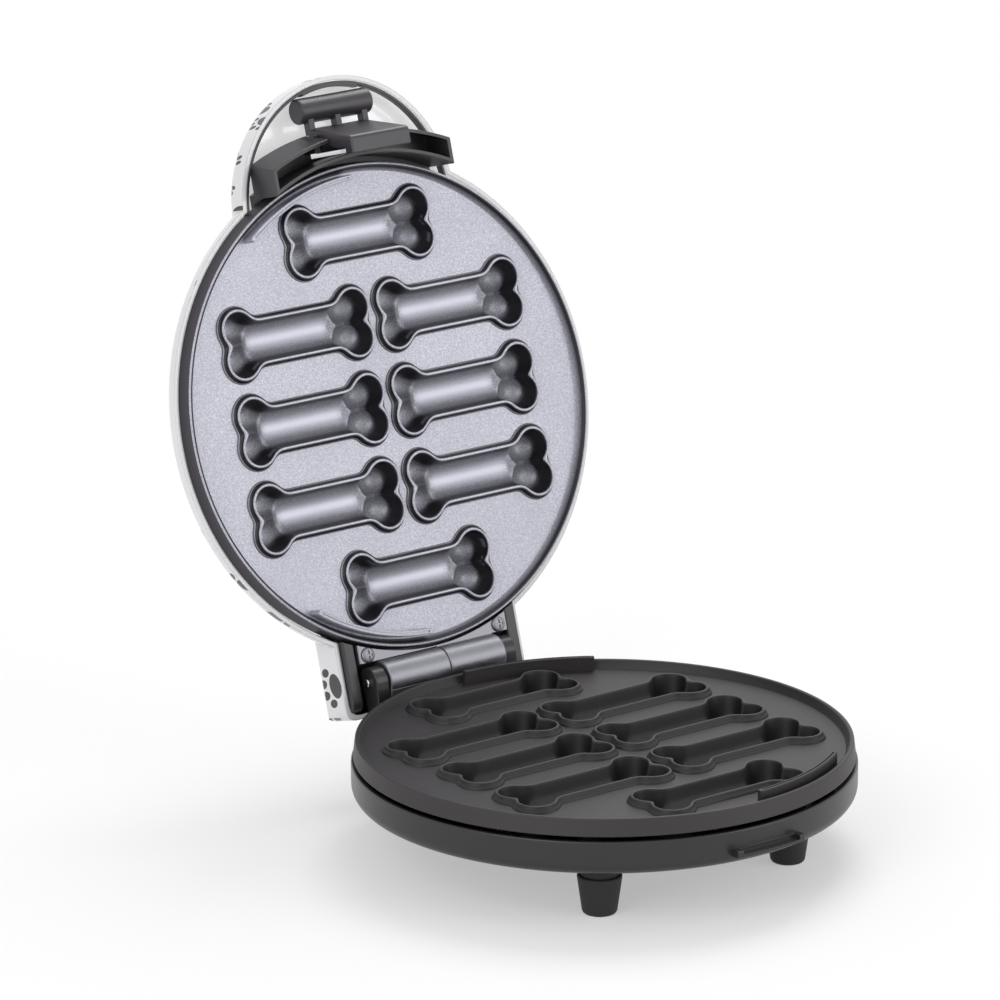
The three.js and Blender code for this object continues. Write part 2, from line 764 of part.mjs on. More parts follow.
function thermostat() {
  const top = -wellBottomDrop - clearance;
  const body = uprightRod(thermostatRadius, 0, 0, top - thermostatHeight, top, 2 * rodSides);
  const ears = [-1, 1].map((side) => uprightRod(
    thermostatEarRadius, 0, side * thermostatEarReach, top - thermostatHeight / 3, top,
  ));
  const bridge = block(
    -thermostatEarRadius, thermostatEarRadius, -thermostatEarReach, thermostatEarReach,
    top - thermostatHeight / 3, top,
  );
  return join(body, bridge, ...ears);
}

function thermalFuse() {
  const level = -wellBottomDrop - clearance - fuseRadius;
  return join(
    crossRod(fuseRadius, -fuseLength / 2, fuseLength / 2, 0, level),
    crossRod(fuseRadius / 3, -fuseLength, fuseLength, 0, level, screwSides),
  );
}

// The leads inside the base: each heater pin to its control, and each control to the gland.
function baseLeads() {
  const level = -leadLevelDrop;
  const pinX = heaterPinTipX - leadRadius - clearance;
  const laneX = pinX / 2 - clearance;
  const controlX = wellColumnX - thermostatRadius - clearance;
  const fuseInX = -wellColumnX + fuseLength + leadRadius + clearance;
  const fuseOutX = -wellColumnX - fuseLength - leadRadius - clearance;
  const halfway = heaterEndY / 2;
  const glandAngle = THREE.MathUtils.degToRad(glandDegrees);
  const glandEnd = housingRadius - housingWall - glandReach - clearance;
  const glandPoint = (side) => [
    glandEnd * Math.cos(glandAngle) + side * glandBore / 2 * Math.sin(glandAngle),
    glandEnd * Math.sin(glandAngle) - side * glandBore / 2 * Math.cos(glandAngle),
    -glandDrop,
  ];
  return {
    lead_heater_to_thermostat: lead([
      [pinX, heaterEndY, level],
      [pinX, (halfway + heaterEndY) / 2, level],
      [controlX - 2 * thermostatRadius, halfway / 2, level],
      [controlX - thermostatRadius / 2, thermostatLeadY, level],
      [controlX, thermostatLeadY, level],
    ]),
    lead_heater_to_fuse: lead([
      [-pinX, heaterEndY, level],
      [-pinX - leadRadius, (halfway + heaterEndY) / 2, level],
      [fuseOutX + thermostatRadius, halfway / 2, level],
      [fuseOutX, 0, level],
    ]),
    lead_thermostat_to_gland: lead([
      glandPoint(1),
      [rearFootX, panRadius, level],
      [rearFootX / 2, panRadius, level],
      [laneX, heaterEndY, level],
      [laneX, halfway, level],
      [controlX - 2 * thermostatRadius, 0, level],
      [controlX - thermostatRadius / 2, -thermostatLeadY, level],
      [controlX, -thermostatLeadY, level],
    ]),
    lead_fuse_to_gland: lead([
      glandPoint(-1),
      [rearFootX, panRadius + panRimHeight, level],
      [rearFootX / 2, panRadius + 2 * panRimHeight, level],
      [-laneX, heaterEndY, level],
      [-laneX, halfway, level],
      [fuseInX, 0, level],
    ]),
  };
}

// The lid's heater leads run back over the frame to the hinge.
function lidLead(side) {
  const level = -leadLevelDrop;
  const lane = side * (heaterPinTipX - leadRadius - clearance);
  return lead([
    [lane, heaterEndY, level],
    [lane, panRadius, level],
    [lane, 2 * wellRowPitch + boneShankHalf + 2 * leadRadius, level],
    [lane, bridgeRear, -frameHigh - leadRadius],
  ]);
}

function cordGland() {
  const inside = housingRadius - housingWall - glandReach;
  const outside = housingRadius + clearance;
  return cut(
    join(
      crossRod(glandBodyRadius, inside, outside + glandFlange, 0, -glandDrop),
      crossRod(glandFlangeRadius, outside, outside + glandFlange, 0, -glandDrop),
    ),
    crossRod(glandBore, inside - overrun, outside + glandFlange + overrun, 0, -glandDrop),
  ).rotateZ(THREE.MathUtils.degToRad(glandDegrees));
}

// Hinge

function leafScrewPlaces() {
  return [-leafScrewX, -leafScrewMidX];
}

function leafScrewHole(x, y0, y1) {
  return new THREE.CylinderGeometry(
    screwShankRadius + clearance, screwShankRadius + clearance, y1 - y0, screwSides,
  ).translate(x, (y0 + y1) / 2, -leafScrewDrop);
}

// One knuckle from x0 to x1, without its bore.
function knuckle(x0, x1) {
  return crossRod(knuckleRadius, x0, x1, hingeBack, hingeRise, 2 * rodSides);
}

function pinBore() {
  return crossRod(pinRadius + clearance, -pinHalf, pinHalf, hingeBack, hingeRise);
}

function baseHingeLeaf() {
  const leafFront = padY + clearance;
  const leaf = block(
    -knuckleHalf, knuckleSplitX - clearance,
    leafFront, leafFront + leafThickness,
    -leafDrop, -leafTopDrop,
  );
  return cut(
    join(knuckle(-knuckleHalf, knuckleSplitX - clearance), leaf),
    pinBore(),
    ...leafScrewPlaces().map((x) => leafScrewHole(x, padY, leafFront + leafThickness + overrun)),
  );
}

function leafScrew() {
  return screw(0, leafScrewLength)
    .rotateX(Math.PI / 2)
    .translate(0, padY + leafThickness + 2 * clearance, -leafScrewDrop);
}

function lidHingeLeaf() {
  const slab = cut(
    block(-strapHalf, strapHalf, strapFront, bridgeRear - clearance, strapLow, strapHigh),
    revolve([
      [0, strapLow - overrun],
      [plateOuterRadius + clearance * 2, strapLow - overrun],
      [plateOuterRadius + clearance * 2, strapHigh + overrun],
      [0, strapHigh + overrun],
    ]),
    crossRod(
      knuckleRadius + clearance, -strapHalf - overrun, knuckleSplitX, hingeBack, hingeRise, 2 * rodSides,
    ),
    crossRod(
      knuckleRadius + clearance, knuckleHalf, strapHalf + overrun, hingeBack, hingeRise, 2 * rodSides,
    ),
  );
  return cut(
    join(slab, knuckle(knuckleSplitX, knuckleHalf)),
    pinBore(),
    ...[-strapScrewX, strapScrewX].map((x) => (
      screwHole(x, strapScrewY, strapLow - overrun, strapHigh + overrun)
    )),
  );
}

function strapScrew() {
  return screw(strapLow - clearance, strapHoleTop - overrun, strapHeadHeight);
}

function hingePin() {
  return crossRod(pinRadius, -pinHalf, pinHalf, hingeBack, hingeRise);
}

// Lid shell

function crownArc(radius, crown) {
  return arc(0, 0, 1, 0, Math.PI / 2, crownSteps).map(([x, y]) => [x * radius, shellSpringRise + y * crown]);
}

// The faceted crown's radius at a height.
function crownRadius(height, radius, crown) {
  const points = crownArc(radius, crown);
  const above = points.findIndex(([, rise]) => rise >= height);
  const [[r0, z0], [r1, z1]] = [points[above - 1], points[above]];
  return r0 + (r1 - r0) * (height - z0) / (z1 - z0);
}

function dome(radius, crown, edge) {
  const arcPoints = crownArc(radius, crown);
  arcPoints[arcPoints.length - 1][0] = 0;
  return revolve([[0, edge], [radius, edge], ...arcPoints]);
}

function frontLobe(radius, rise, round, edge) {
  return revolve([
    [0, edge],
    [radius, edge],
    ...arc(radius - round, rise - round, round, 0, Math.PI / 2, roundSteps),
    [0, rise],
  ]).translate(0, -frontLobeY, 0);
}

function rearLobe(half, back, rise, round, edge) {
  const view = [
    [rearLobeStart, edge],
    [back, edge],
    ...arc(back - round, rise - round, round, 0, Math.PI / 2, roundSteps),
    [rearLobeStart, rise],
  ];
  const across = [
    [-half, edge - overrun],
    [half, edge - overrun],
    ...arc(half - round, rise - round, round, 0, Math.PI / 2, roundSteps),
    ...arc(round - half, rise - round, round, Math.PI / 2, Math.PI, roundSteps),
  ];
  const section = new THREE.Shape(across.map(([x, z]) => new THREE.Vector2(x, z)));
  const lengthways = new THREE.ExtrudeGeometry(section, { depth: 2 * back, bevelEnabled: false })
    .rotateX(Math.PI / 2)
    .translate(0, 2 * back, 0);
  return common(crossPrism(view, -half - overrun, half + overrun), lengthways);
}

function shellCavity(edge) {
  return join(
    dome(shellInnerRadius, shellInnerCrown, edge),
    frontLobe(lobeInnerRadius, frontLobeRise - shellWall, frontLobeRound - shellWall, edge),
    rearLobe(
      rearLobeHalf - shellWall, rearLobeY - shellWall, rearLobeRise - shellWall,
      rearLobeRound - shellWall, edge,
    ),
  );
}

function lidShell() {
  const outside = join(
    dome(shellRadius, shellCrown, shellEdgeRise),
    frontLobe(frontLobeRadius, frontLobeRise, frontLobeRound, shellEdgeRise),
    rearLobe(rearLobeHalf, rearLobeY, rearLobeRise, rearLobeRound, shellEdgeRise),
  );
  const bosses = [-strapScrewX, strapScrewX].map((x) => (
    uprightRod(shellBossRadius, x, strapScrewY, frameHigh + clearance, 2 * shellCrown)
  ));
  const pads = panPads(2 * shellCrown).map((pad) => overturned(pad).translate(0, 0, clearance));
  const inside = common(join(...bosses, ...pads), outside);
  const holes = [-strapScrewX, strapScrewX].map((x) => (
    screwHole(x, strapScrewY, frameHigh, strapHoleTop)
  ));
  return cut(join(cut(outside, shellCavity(shellEdgeRise - overrun)), inside), ...holes);
}

// Lid frame

function noseSector(innerRadius, outerRadius, half, low, high) {
  const band = revolve([
    [innerRadius, low],
    [outerRadius, low],
    [outerRadius + noseFlare, high],
    [innerRadius, high],
    [innerRadius, low],
  ]);
  return common(band, block(-half, half, -2 * outerRadius, 0, low - overrun, high + overrun));
}

function noseBlock() {
  const outside = noseSector(noseInnerRadius, noseOuterRadius, noseHalf, -noseDrop, noseRoofRise);
  const pocket = noseSector(
    noseInnerRadius + noseWall, noseOuterRadius - noseWall, noseHalf - noseWall,
    -noseDrop - overrun, noseRoofRise - noseRoof,
  );
  const lugs = [-1, 1].map((side) => {
    const near = latchHalf + 2 * clearance;
    return block(
      Math.min(side * near, side * (near + latchLugWidth)),
      Math.max(side * near, side * (near + latchLugWidth)),
      -latchPivotY - latchBossRadius + clearance, -latchPivotY + latchBossRadius - clearance,
      latchPivotRise - latchBossRadius, noseRoofRise - noseRoof / 2,
    );
  });
  const slot = block(
    -latchHalf - clearance, latchHalf + clearance,
    -latchTopY - latchBossRadius, -noseInnerRadius - noseWall - clearance,
    -noseDrop - overrun, noseRoofRise + overrun,
  );
  return cut(
    join(cut(outside, pocket), ...lugs),
    slot,
    crossRod(
      latchPinRadius + clearance, -latchPinHalf - clearance, latchPinHalf + clearance,
      -latchPivotY, latchPivotRise,
    ),
  );
}

// A thin lip that lines the edge of the front lobe, with a pad behind the grip. It springs from
// the carrier ring, where the two circles cross.
function hoop() {
  const outer = lobeInnerRadius - clearance;
  const hoopJoinY = circlesMeetY(frameOuterRadius, outer - hoopWidth, frontLobeY);
  const low = shellEdgeRise + clearance;
  const band = ring(outer - hoopWidth, outer, low, low + hoopHeight);
  const pad = common(
    ring(outer - hoopPadWidth, outer, low, low + hoopHeight),
    block(-hoopPadHalf, hoopPadHalf, -2 * outer, 0, 0, frontLobeRise),
  );
  const frontOnly = block(
    -2 * outer, 2 * outer, -2 * outer, frontLobeY - hoopJoinY, 0, frontLobeRise,
  );
  return common(join(band, pad), frontOnly).translate(0, -frontLobeY, 0);
}

function cheek(side) {
  const roundY = cheekRear - cheekRound;
  const view = [
    [cheekFront, cheekLow],
    [roundY, cheekLow],
    ...arc(roundY, cheekLow + cheekRound, cheekRound, -Math.PI / 2, Math.PI / 2, 2 * roundSteps),
    [cheekFront, cheekLow + 2 * cheekRound],
  ];
  return sidePrism(view, side, cheekInner, cheekOuter);
}

function lidFrame() {
  const carrier = ring(frameInnerRadius, frameOuterRadius, frameLow, frameHigh);
  const tabs = corners(plateScrewX, plateScrewY).map(([x, y]) => (
    uprightRod(frameTabRadius, x, y, frameLow, frameHigh)
  ));
  const plateRoom = revolve([
    [0, -noseDrop],
    [plateOuterRadius + 2 * clearance, -noseDrop],
    [plateOuterRadius + 2 * clearance, frameLow],
    [0, frameLow],
  ]);
  const rearBridge = block(
    -cheekInner - noseWall, cheekInner + noseWall,
    frameInnerRadius, bridgeRear,
    frameLow, frameHigh,
  );
  const cheeks = [-1, 1].map((side) => cut(cheek(side), plateRoom));
  const noseBridge = cut(
    noseSector(frameInnerRadius, noseInnerRadius + noseWall, noseHalf, frameLow, frameHigh),
    block(-noseHalf, noseHalf, -2 * noseOuterRadius, -noseInnerRadius - noseWall, 0, frameHigh + overrun),
  );
  const noseWeb = cut(
    noseSector(noseInnerRadius, noseInnerRadius + noseWall, noseHalf, 0, frameHigh),
    plateRoom,
  );
  const holes = [
    ...corners(plateScrewX, plateScrewY),
    [-strapScrewX, strapScrewY],
    [strapScrewX, strapScrewY],
  ].map(([x, y]) => screwHole(x, y, frameLow - overrun, frameHigh + overrun));
  return cut(
    join(carrier, ...tabs, rearBridge, ...cheeks, noseBridge, noseWeb, noseBlock(), cut(hoop(), plateRoom)),
    ...holes,
  );
}

function upperPlateScrew() {
  return screw(-frameHigh, -plateBackDrop - plateBossDrop + plateScrewBite);
}

// Latch

function latchLever() {
  const view = [
    [-latchTipY + latchTipRound, -latchTipDrop],
    [-latchHookY, -latchTipDrop],
    [-latchHookY, -latchHookDrop],
    [-latchInnerY, -latchHookDrop],
    [-latchInnerY, -ledgeTopDrop + ledgeHeight],
    [-latchShoulderY, -latchShoulderDrop],
    ...arc(-latchPivotY, latchPivotRise, latchBossRadius, -Math.PI / 3, Math.PI / 2, 2 * roundSteps),
    [-latchTopY, latchTopRise],
    [-latchTipY, -latchTipDrop + latchTipRound],
  ];
  const arm = crossPrism(view, -latchHalf, latchHalf);
  const grip = new THREE.LatheGeometry([
    [0, -gripHalf],
    [gripRadius - gripEndRound, -gripHalf],
    [gripRadius, -gripHalf + gripEndRound],
    [gripRadius, gripHalf - gripEndRound],
    [gripRadius - gripEndRound, gripHalf],
    [0, gripHalf],
  ].map(([radius, along]) => new THREE.Vector2(radius, along)), 2 * rodSides)
    .rotateZ(-Math.PI / 2)
    .translate(0, -gripY, gripRise);
  const legs = [-latchHalf, -gripLegWidth / 2, latchHalf - gripLegWidth].map((x) => block(
    x, x + gripLegWidth, -gripY, -latchPivotY - latchBossRadius, gripLegLow, gripLegHigh,
  ));
  return cut(
    join(arm, grip, ...legs),
    crossRod(
      latchPinRadius + clearance, -latchHalf - overrun, latchHalf + overrun,
      -latchPivotY, latchPivotRise,
    ),
  );
}

function latchPin() {
  return crossRod(latchPinRadius, -latchPinHalf, latchPinHalf, -latchPivotY, latchPivotRise);
}

// Scene

function piece(name, geometry, colour, roughness, metalness = 0) {
  const material = new THREE.MeshStandardMaterial({ color: colour, roughness, metalness });
  const mesh = new THREE.Mesh(geometry, material);
  mesh.name = name;
  return mesh;
}

const blackPlastic = [0x1b1b1e, 0.5];
const whitePlastic = [0xf1f2f4, 0.2];
const darkCoating = [0x35302f, 0.45, 0.3];
const greyCoating = [0xa3a3ad, 0.45, 0.3];
const zinc = [0x9a9ba0, 0.4, 0.9];
const steel = [0xb4b6ba, 0.35, 1];
const darkSteel = [0x6d6a68, 0.55, 0.8];
const rubber = [0x202022, 0.85];
const silicone = [0xd8d4cc, 0.6];
const ceramic = [0xe6e0d4, 0.7];

// Copies of one piece, each a mesh of its own at its [x, y] place.
function pieces(names, places, make, look) {
  return names.map((name, index) => {
    const mesh = piece(name, make(index), ...look);
    mesh.position.set(...places[index], 0);
    return mesh;
  });
}

function numbered(stem, places) {
  return places.map((_, index) => `${stem}_${index + 1}`);
}

const footNames = ['foot_front_left', 'foot_front_right', 'foot_rear_left', 'foot_rear_right'];
const plateScrewPlaces = corners(plateScrewX, plateScrewY);
const leafScrewXs = leafScrewPlaces().map((x) => [x, 0]);
const strapScrewPlaces = [[-strapScrewX, strapScrewY], [strapScrewX, strapScrewY]];

const base = new THREE.Group();
base.name = 'base';
base.add(
  piece('bottom_housing', bottomHousing(), ...blackPlastic),
  piece('lower_plate', castPlate(), ...darkCoating),
  piece('lower_heater', heater(), ...darkSteel),
  piece('lower_reflector', reflectorPan(), ...steel),
  piece('cord_gland', cordGland(), ...rubber),
  piece('base_hinge_leaf', baseHingeLeaf(), ...zinc),
  piece('hinge_pin', hingePin(), ...steel),
  ...pieces(['thermostat'], [[wellColumnX, 0]], thermostat, ceramic),
  ...pieces(['thermal_fuse'], [[-wellColumnX, 0]], thermalFuse, steel),
  ...pieces(footNames, footPlaces(), foot, rubber),
  ...pieces(numbered('foot_screw', footPlaces()), footPlaces(), footScrew, steel),
  ...pieces(numbered('lower_plate_screw', plateScrewPlaces), plateScrewPlaces, lowerPlateScrew, steel),
  ...pieces(numbered('base_hinge_screw', leafScrewXs), leafScrewXs, leafScrew, steel),
  ...Object.entries(baseLeads()).map(([name, geometry]) => piece(name, geometry, ...silicone)),
);

// Everything that the upper casting carries is drawn as the lower one and turned over.
const upperStack = new THREE.Group();
upperStack.name = 'upper_stack';
upperStack.rotation.y = Math.PI;
upperStack.position.z = clearance;
upperStack.add(
  piece('upper_plate', castPlate(), ...greyCoating),
  piece('upper_heater', heater(), ...darkSteel),
  piece('upper_reflector', reflectorPan(), ...steel),
  piece('lid_lead_left', lidLead(1), ...silicone),
  piece('lid_lead_right', lidLead(-1), ...silicone),
  ...pieces(numbered('upper_plate_screw', plateScrewPlaces), plateScrewPlaces, upperPlateScrew, steel),
);

const latch = new THREE.Group();
latch.name = 'latch';
latch.position.set(0, -latchPivotY, latchPivotRise);
const lever = piece('latch_lever', latchLever(), ...blackPlastic);
lever.position.set(0, latchPivotY, -latchPivotRise);
latch.add(lever);

const lid = new THREE.Group();
lid.name = 'lid';
lid.position.set(0, -hingeBack, -hingeRise);
lid.add(
  piece('lid_shell', lidShell(), ...whitePlastic),
  piece('lid_frame', lidFrame(), ...blackPlastic),
  piece('lid_hinge_leaf', lidHingeLeaf(), ...zinc),
  piece('latch_pin', latchPin(), ...steel),
  ...pieces(['lid_hinge_screw_left', 'lid_hinge_screw_right'], strapScrewPlaces, strapScrew, steel),
  upperStack,
  latch,
);

const hinge = new THREE.Group();
hinge.name = 'hinge';
hinge.position.set(0, hingeBack, hingeRise);
hinge.rotation.x = -openAngle;
hinge.add(lid);

const cooker = new THREE.Group();
cooker.name = 'treat_maker';
cooker.add(base, hinge);
const bounds = new THREE.Box3().setFromObject(cooker, true);
const middle = bounds.getCenter(new THREE.Vector3());
cooker.position.set(-middle.x, -middle.y, -bounds.min.z);

export default cooker;
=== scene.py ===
# %% [markdown]
# A treat maker, dressed in Blender.
#
# The construction model holds every piece of the cooker at its real size: two cast plates with
# eight bone-shaped wells each, a shallow black base on four feet, a glossy domed lid that leans
# back on a hinge, and a latch that hangs from the lid. It is exact but coarse. This lesson draws
# each piece again as a fine surface in the same place, and gives it the finish of the real one.

# %% Open the construction model
import json
import math

import bmesh
import bpy
import numpy as np
from mathutils import Matrix, Vector
from mathutils.geometry import delaunay_2d_cdt


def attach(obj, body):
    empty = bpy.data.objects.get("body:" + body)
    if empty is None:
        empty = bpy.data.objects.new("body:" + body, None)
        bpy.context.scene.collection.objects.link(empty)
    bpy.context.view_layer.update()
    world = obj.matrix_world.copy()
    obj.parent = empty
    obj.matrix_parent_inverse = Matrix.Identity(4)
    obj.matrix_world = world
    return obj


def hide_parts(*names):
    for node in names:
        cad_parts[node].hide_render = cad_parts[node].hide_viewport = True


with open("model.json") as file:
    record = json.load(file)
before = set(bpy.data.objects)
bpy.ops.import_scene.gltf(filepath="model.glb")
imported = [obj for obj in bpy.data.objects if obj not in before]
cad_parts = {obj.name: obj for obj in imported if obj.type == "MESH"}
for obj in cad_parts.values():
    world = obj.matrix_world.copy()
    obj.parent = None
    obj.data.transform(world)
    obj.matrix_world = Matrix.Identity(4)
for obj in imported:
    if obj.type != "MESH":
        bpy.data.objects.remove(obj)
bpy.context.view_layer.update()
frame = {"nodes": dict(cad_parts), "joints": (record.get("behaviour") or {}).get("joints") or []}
joints = {joint["name"]: joint for joint in frame["joints"]}

# %% [markdown]
# The maker draws the cooker with its lid shut, in millimetres, around the plane where the two
# plates meet. Each piece could be drawn where it ends up instead, but with the lid level the
# plates are round about the z axis, and every shape stays simple. A finished piece is then carried
# to its place: the base only moves, and the lid first turns back about the hinge. The hinge's
# place and the angle come from the model's own joint, so a drawn piece always meets the frame.

# %% From the drawing to the frame
MM = 0.001
hinge_back = 111.1
hinge_rise = 1.0
plate_gap = 0.3
hinge_axis = np.array(joints["lid_hinge"]["pos_m"])
open_angle = math.radians(joints["lid_hinge"]["range_deg"][1])
plate_centre = hinge_axis - np.array([0, hinge_back, hinge_rise]) * MM


def placed(points, body):
    """Drawn millimetres as metres in the frame.

    On the lid, y and z are counted from the hinge and turned back by the open angle a:
    y' = y cos a + z sin a and z' = z cos a - y sin a."""
    points = np.array(points, float)
    if body != "base":
        y = points[:, 1] - hinge_back
        z = points[:, 2] - hinge_rise
        points[:, 1] = hinge_back + y * math.cos(open_angle) + z * math.sin(open_angle)
        points[:, 2] = hinge_rise + z * math.cos(open_angle) - y * math.sin(open_angle)
    return points * MM + plate_centre


def overturned(points):
    """A piece of the lower plate as the lid has it, turned over about y: (-x, y, gap - z)."""
    return points * [-1, 1, -1] + [0, 0, plate_gap]


print("plate centre", plate_centre.round(4), "open by", round(math.degrees(open_angle), 1))

# %% [markdown]
# The camera comes first, because every choice after it is checked through it. It stands at the
# front left, a little above the plates, far away behind a long lens, so that the two round plates
# keep almost the same scale. A close camera with a wide lens would fill the picture just as well,
# but it would shrink the lid.

# %% Camera
view_azimuth = math.radians(-37.621)
view_elevation = math.radians(16.758)
view_roll = math.radians(-0.183)
view_distance = 2735.14
view_right, view_up = -42.198, 95.339  # from the plates' centre to the middle of the picture
focal_share = 6.765575  # focal length as a share of the picture's width
sensor_width = 36

backward = Vector((
    math.sin(view_azimuth) * math.cos(view_elevation),
    -math.cos(view_azimuth) * math.cos(view_elevation),
    math.sin(view_elevation),
))
level = Vector((math.cos(view_azimuth), math.sin(view_azimuth), 0))
upward = backward.cross(level)
right = level * math.cos(view_roll) + upward * math.sin(view_roll)
top = upward * math.cos(view_roll) - level * math.sin(view_roll)
eye = (backward * view_distance + right * view_right + top * view_up) * MM + Vector(plate_centre)

scene = bpy.context.scene
camera_data = bpy.data.cameras.new("camera")
camera_data.lens = sensor_width * focal_share
camera_data.sensor_width = sensor_width
camera = bpy.data.objects.new("camera", camera_data)
camera.matrix_world = Matrix.Translation(eye) @ Matrix((right, top, backward)).transposed().to_4x4()
scene.collection.objects.link(camera)
scene.camera = camera
print("camera at", [round(c, 3) for c in eye], "lens", round(camera_data.lens, 1))

# %% [markdown]
# Shader maths reads best as ordinary sums. `Value` wraps one socket and turns Python's operators
# into Math nodes. `Finish` is a material in the making: constants are set on the shader itself,
# and whatever changes over the surface is written with `Value` and sent to a socket. The same
# nodes could be placed by hand in the editor, but a sum can be read and changed in one line.

# %% Writing materials as sums
def feed(tree, socket, value):
    """A Value is linked to the socket, and a plain number or colour is set on it."""
    if isinstance(value, Value):
        tree.links.new(value.socket, socket)
    else:
        socket.default_value = value


class Value:
    """A number that changes over a surface, with Python's operators."""

    def __init__(self, tree, socket):
        self.tree = tree
        self.socket = socket

    def sum(self, operation, *terms, clamp=False):
        node = self.tree.nodes.new("ShaderNodeMath")
        node.operation = operation
        node.use_clamp = clamp
        for index, term in enumerate(terms):
            feed(self.tree, node.inputs[index], term)
        return Value(self.tree, node.outputs[0])

    def __add__(self, other):
        return self.sum("ADD", self, other)

    def __radd__(self, other):
        return self.sum("ADD", other, self)

    def __sub__(self, other):
        return self.sum("SUBTRACT", self, other)

    def __rsub__(self, other):
        return self.sum("SUBTRACT", other, self)

    def __mul__(self, other):
        return self.sum("MULTIPLY", self, other)

    def __rmul__(self, other):
        return self.sum("MULTIPLY", other, self)

    def __truediv__(self, other):
        return self.sum("DIVIDE", self, other)

    def __pow__(self, other):
        return self.sum("POWER", self, other)

    def larger(self, other):
        return self.sum("MAXIMUM", self, other)

    def smaller(self, other):
        return self.sum("MINIMUM", self, other)

    def swing(self, width):
        """A noise about 0.5 as a noise about 0, this wide."""
        return (self - 0.5) * width

    def between(self, low, high):
        """0 up to low, 1 from high, and a smooth S between them: s^2 (3 - 2 s)."""
        share = self.sum("DIVIDE", self - low, high - low, clamp=True)
        return share * share * (3 - 2 * share)


class Nodes:
    """A node tree that takes one more node at a time."""

    def __init__(self, tree):
        self.tree = tree

    def node(self, kind, settings=None, values=None, output=0):
        """One node of this type: its settings first, then the values or links of its sockets."""
        node = self.tree.nodes.new(kind)
        for name, setting in (settings or {}).items():
            setattr(node, name, setting)
        for name, value in (values or {}).items():
            feed(self.tree, node.inputs[name], value)
        return Value(self.tree, node.outputs[output])


class Finish(Nodes):
    """A material whose shader has these fixed values, and whose patterns are added as Values."""

    def __init__(self, name, **fixed):
        self.material = bpy.data.materials.new(name)
        self.material.use_nodes = True
        super().__init__(self.material.node_tree)
        self.shader = self.tree.nodes["Principled BSDF"]
        for word, value in fixed.items():
            self.shader.inputs[word.replace("_", " ")].default_value = value

    def place(self, stretch=(1, 1, 1), turn=(0, 0, 0)):
        """The frame's own coordinates in millimetres, stretched or turned for a pattern."""
        here = self.node("ShaderNodeTexCoord", output="Object")
        scale = tuple(share / MM for share in stretch)
        values = {"Vector": here, "Scale": scale, "Rotation": turn}
        return self.node("ShaderNodeMapping", values=values)

    def noise(self, size, detail=2.0, stretch=(1, 1, 1)):
        """Soft noise about 0.5 whose blotches are this many millimetres across."""
        values = {"Vector": self.place(stretch), "Scale": 1 / size, "Detail": detail}
        return self.node("ShaderNodeTexNoise", values=values)

    def mix(self, share, first, second):
        """A colour that goes from first to second as share goes from 0 to 1."""
        values = {0: share, 6: first, 7: second}  # Mix has these sockets for its colours
        return self.node("ShaderNodeMix", {"data_type": "RGBA"}, values, output=2)

    def kept(self, name):
        """The share that the mesh keeps on its points or faces under this name."""
        return self.node("ShaderNodeAttribute", {"attribute_name": name}, output="Fac")

    def into(self, word, value):
        feed(self.tree, self.shader.inputs[word], value)

    def bumps(self, height, distance, strength=0.5, edge=0.0):
        """Relief of this depth in millimetres, over normals that round each edge by edge."""
        values = {"Height": height, "Distance": distance * MM, "Strength": strength}
        if edge:
            values["Normal"] = self.node("ShaderNodeBevel", {"samples": 4}, {"Radius": edge * MM})
        self.into("Normal", self.node("ShaderNodeBump", values=values))


def tone(red, green, blue):
    """The linear colour of a shade that shows as these 0 to 255 values on a screen: s / 12.92 in
    the darkest shades, and ((s + 0.055) / 1.055)^2.4 in the others."""
    shown = np.array([red, green, blue]) / 255
    linear = np.where(shown <= 0.04045, shown / 12.92, ((shown + 0.055) / 1.055) ** 2.4)
    return (*[float(part) for part in linear], 1.0)


def times(colour, share):
    """A colour made lighter or darker."""
    return (*[part * share for part in colour[:3]], 1.0)


print("materials are written with Value and Finish")

# %% [markdown]
# The studio is a white sweep. Near the cooker the floor is a plain pale surface that takes its
# soft shadow; further out it turns into the white of the backdrop, so no horizon shows. Stronger
# lamps would whiten the floor too, but they would also bleach the cooker. So the white is the
# colour of floor and backdrop as the eye, a mirror or glass sees them, and the lamps stay at the
# level at which a colour shows as it is written.

# %% Floor and backdrop
floor_half = 4.0
floor_fade_start = 0.35
floor_fade_end = 0.85
floor_fill = 0.4
floor_colour = (0.86, 0.86, 0.865, 1)
floor_cloud_colour = (0.9, 0.9, 0.9, 1)
floor_cloud_size = 60
floor_cloud_share = 0.3
white = (1, 1, 1, 1)

floor_mesh = bpy.data.meshes.new("floor")
floor_mesh.from_pydata(
    [(x * floor_half, y * floor_half, 0) for x, y in ((-1, -1), (1, -1), (1, 1), (-1, 1))],
    [], [(0, 1, 2, 3)],
)
floor = bpy.data.objects.new("floor", floor_mesh)
scene.collection.objects.link(floor)

floor_finish = Finish("floor", Roughness=0.9, Specular_IOR_Level=0.1)
floor_finish.into("Base Color", floor_finish.mix(
    floor_finish.noise(floor_cloud_size) * floor_cloud_share, floor_colour, floor_cloud_colour,
))
from_middle = floor_finish.node(
    "ShaderNodeVectorMath", {"operation": "LENGTH"},
    {0: floor_finish.node("ShaderNodeTexCoord", output="Object")}, output=1,
)
faded = floor_fill + from_middle.between(floor_fade_start, floor_fade_end) * (1 - floor_fill)
glow = floor_finish.node("ShaderNodeEmission", values={"Color": white, "Strength": 1.0})


def seen_white(nodes):
    """1 for rays from the eye, a mirror or glass, and 0 for those that only carry light."""
    eye_ray, mirror_ray, glass_ray = [
        nodes.node("ShaderNodeLightPath", output=f"Is {kind} Ray")
        for kind in ("Camera", "Glossy", "Transmission")
    ]
    return eye_ray.larger(mirror_ray).larger(glass_ray)


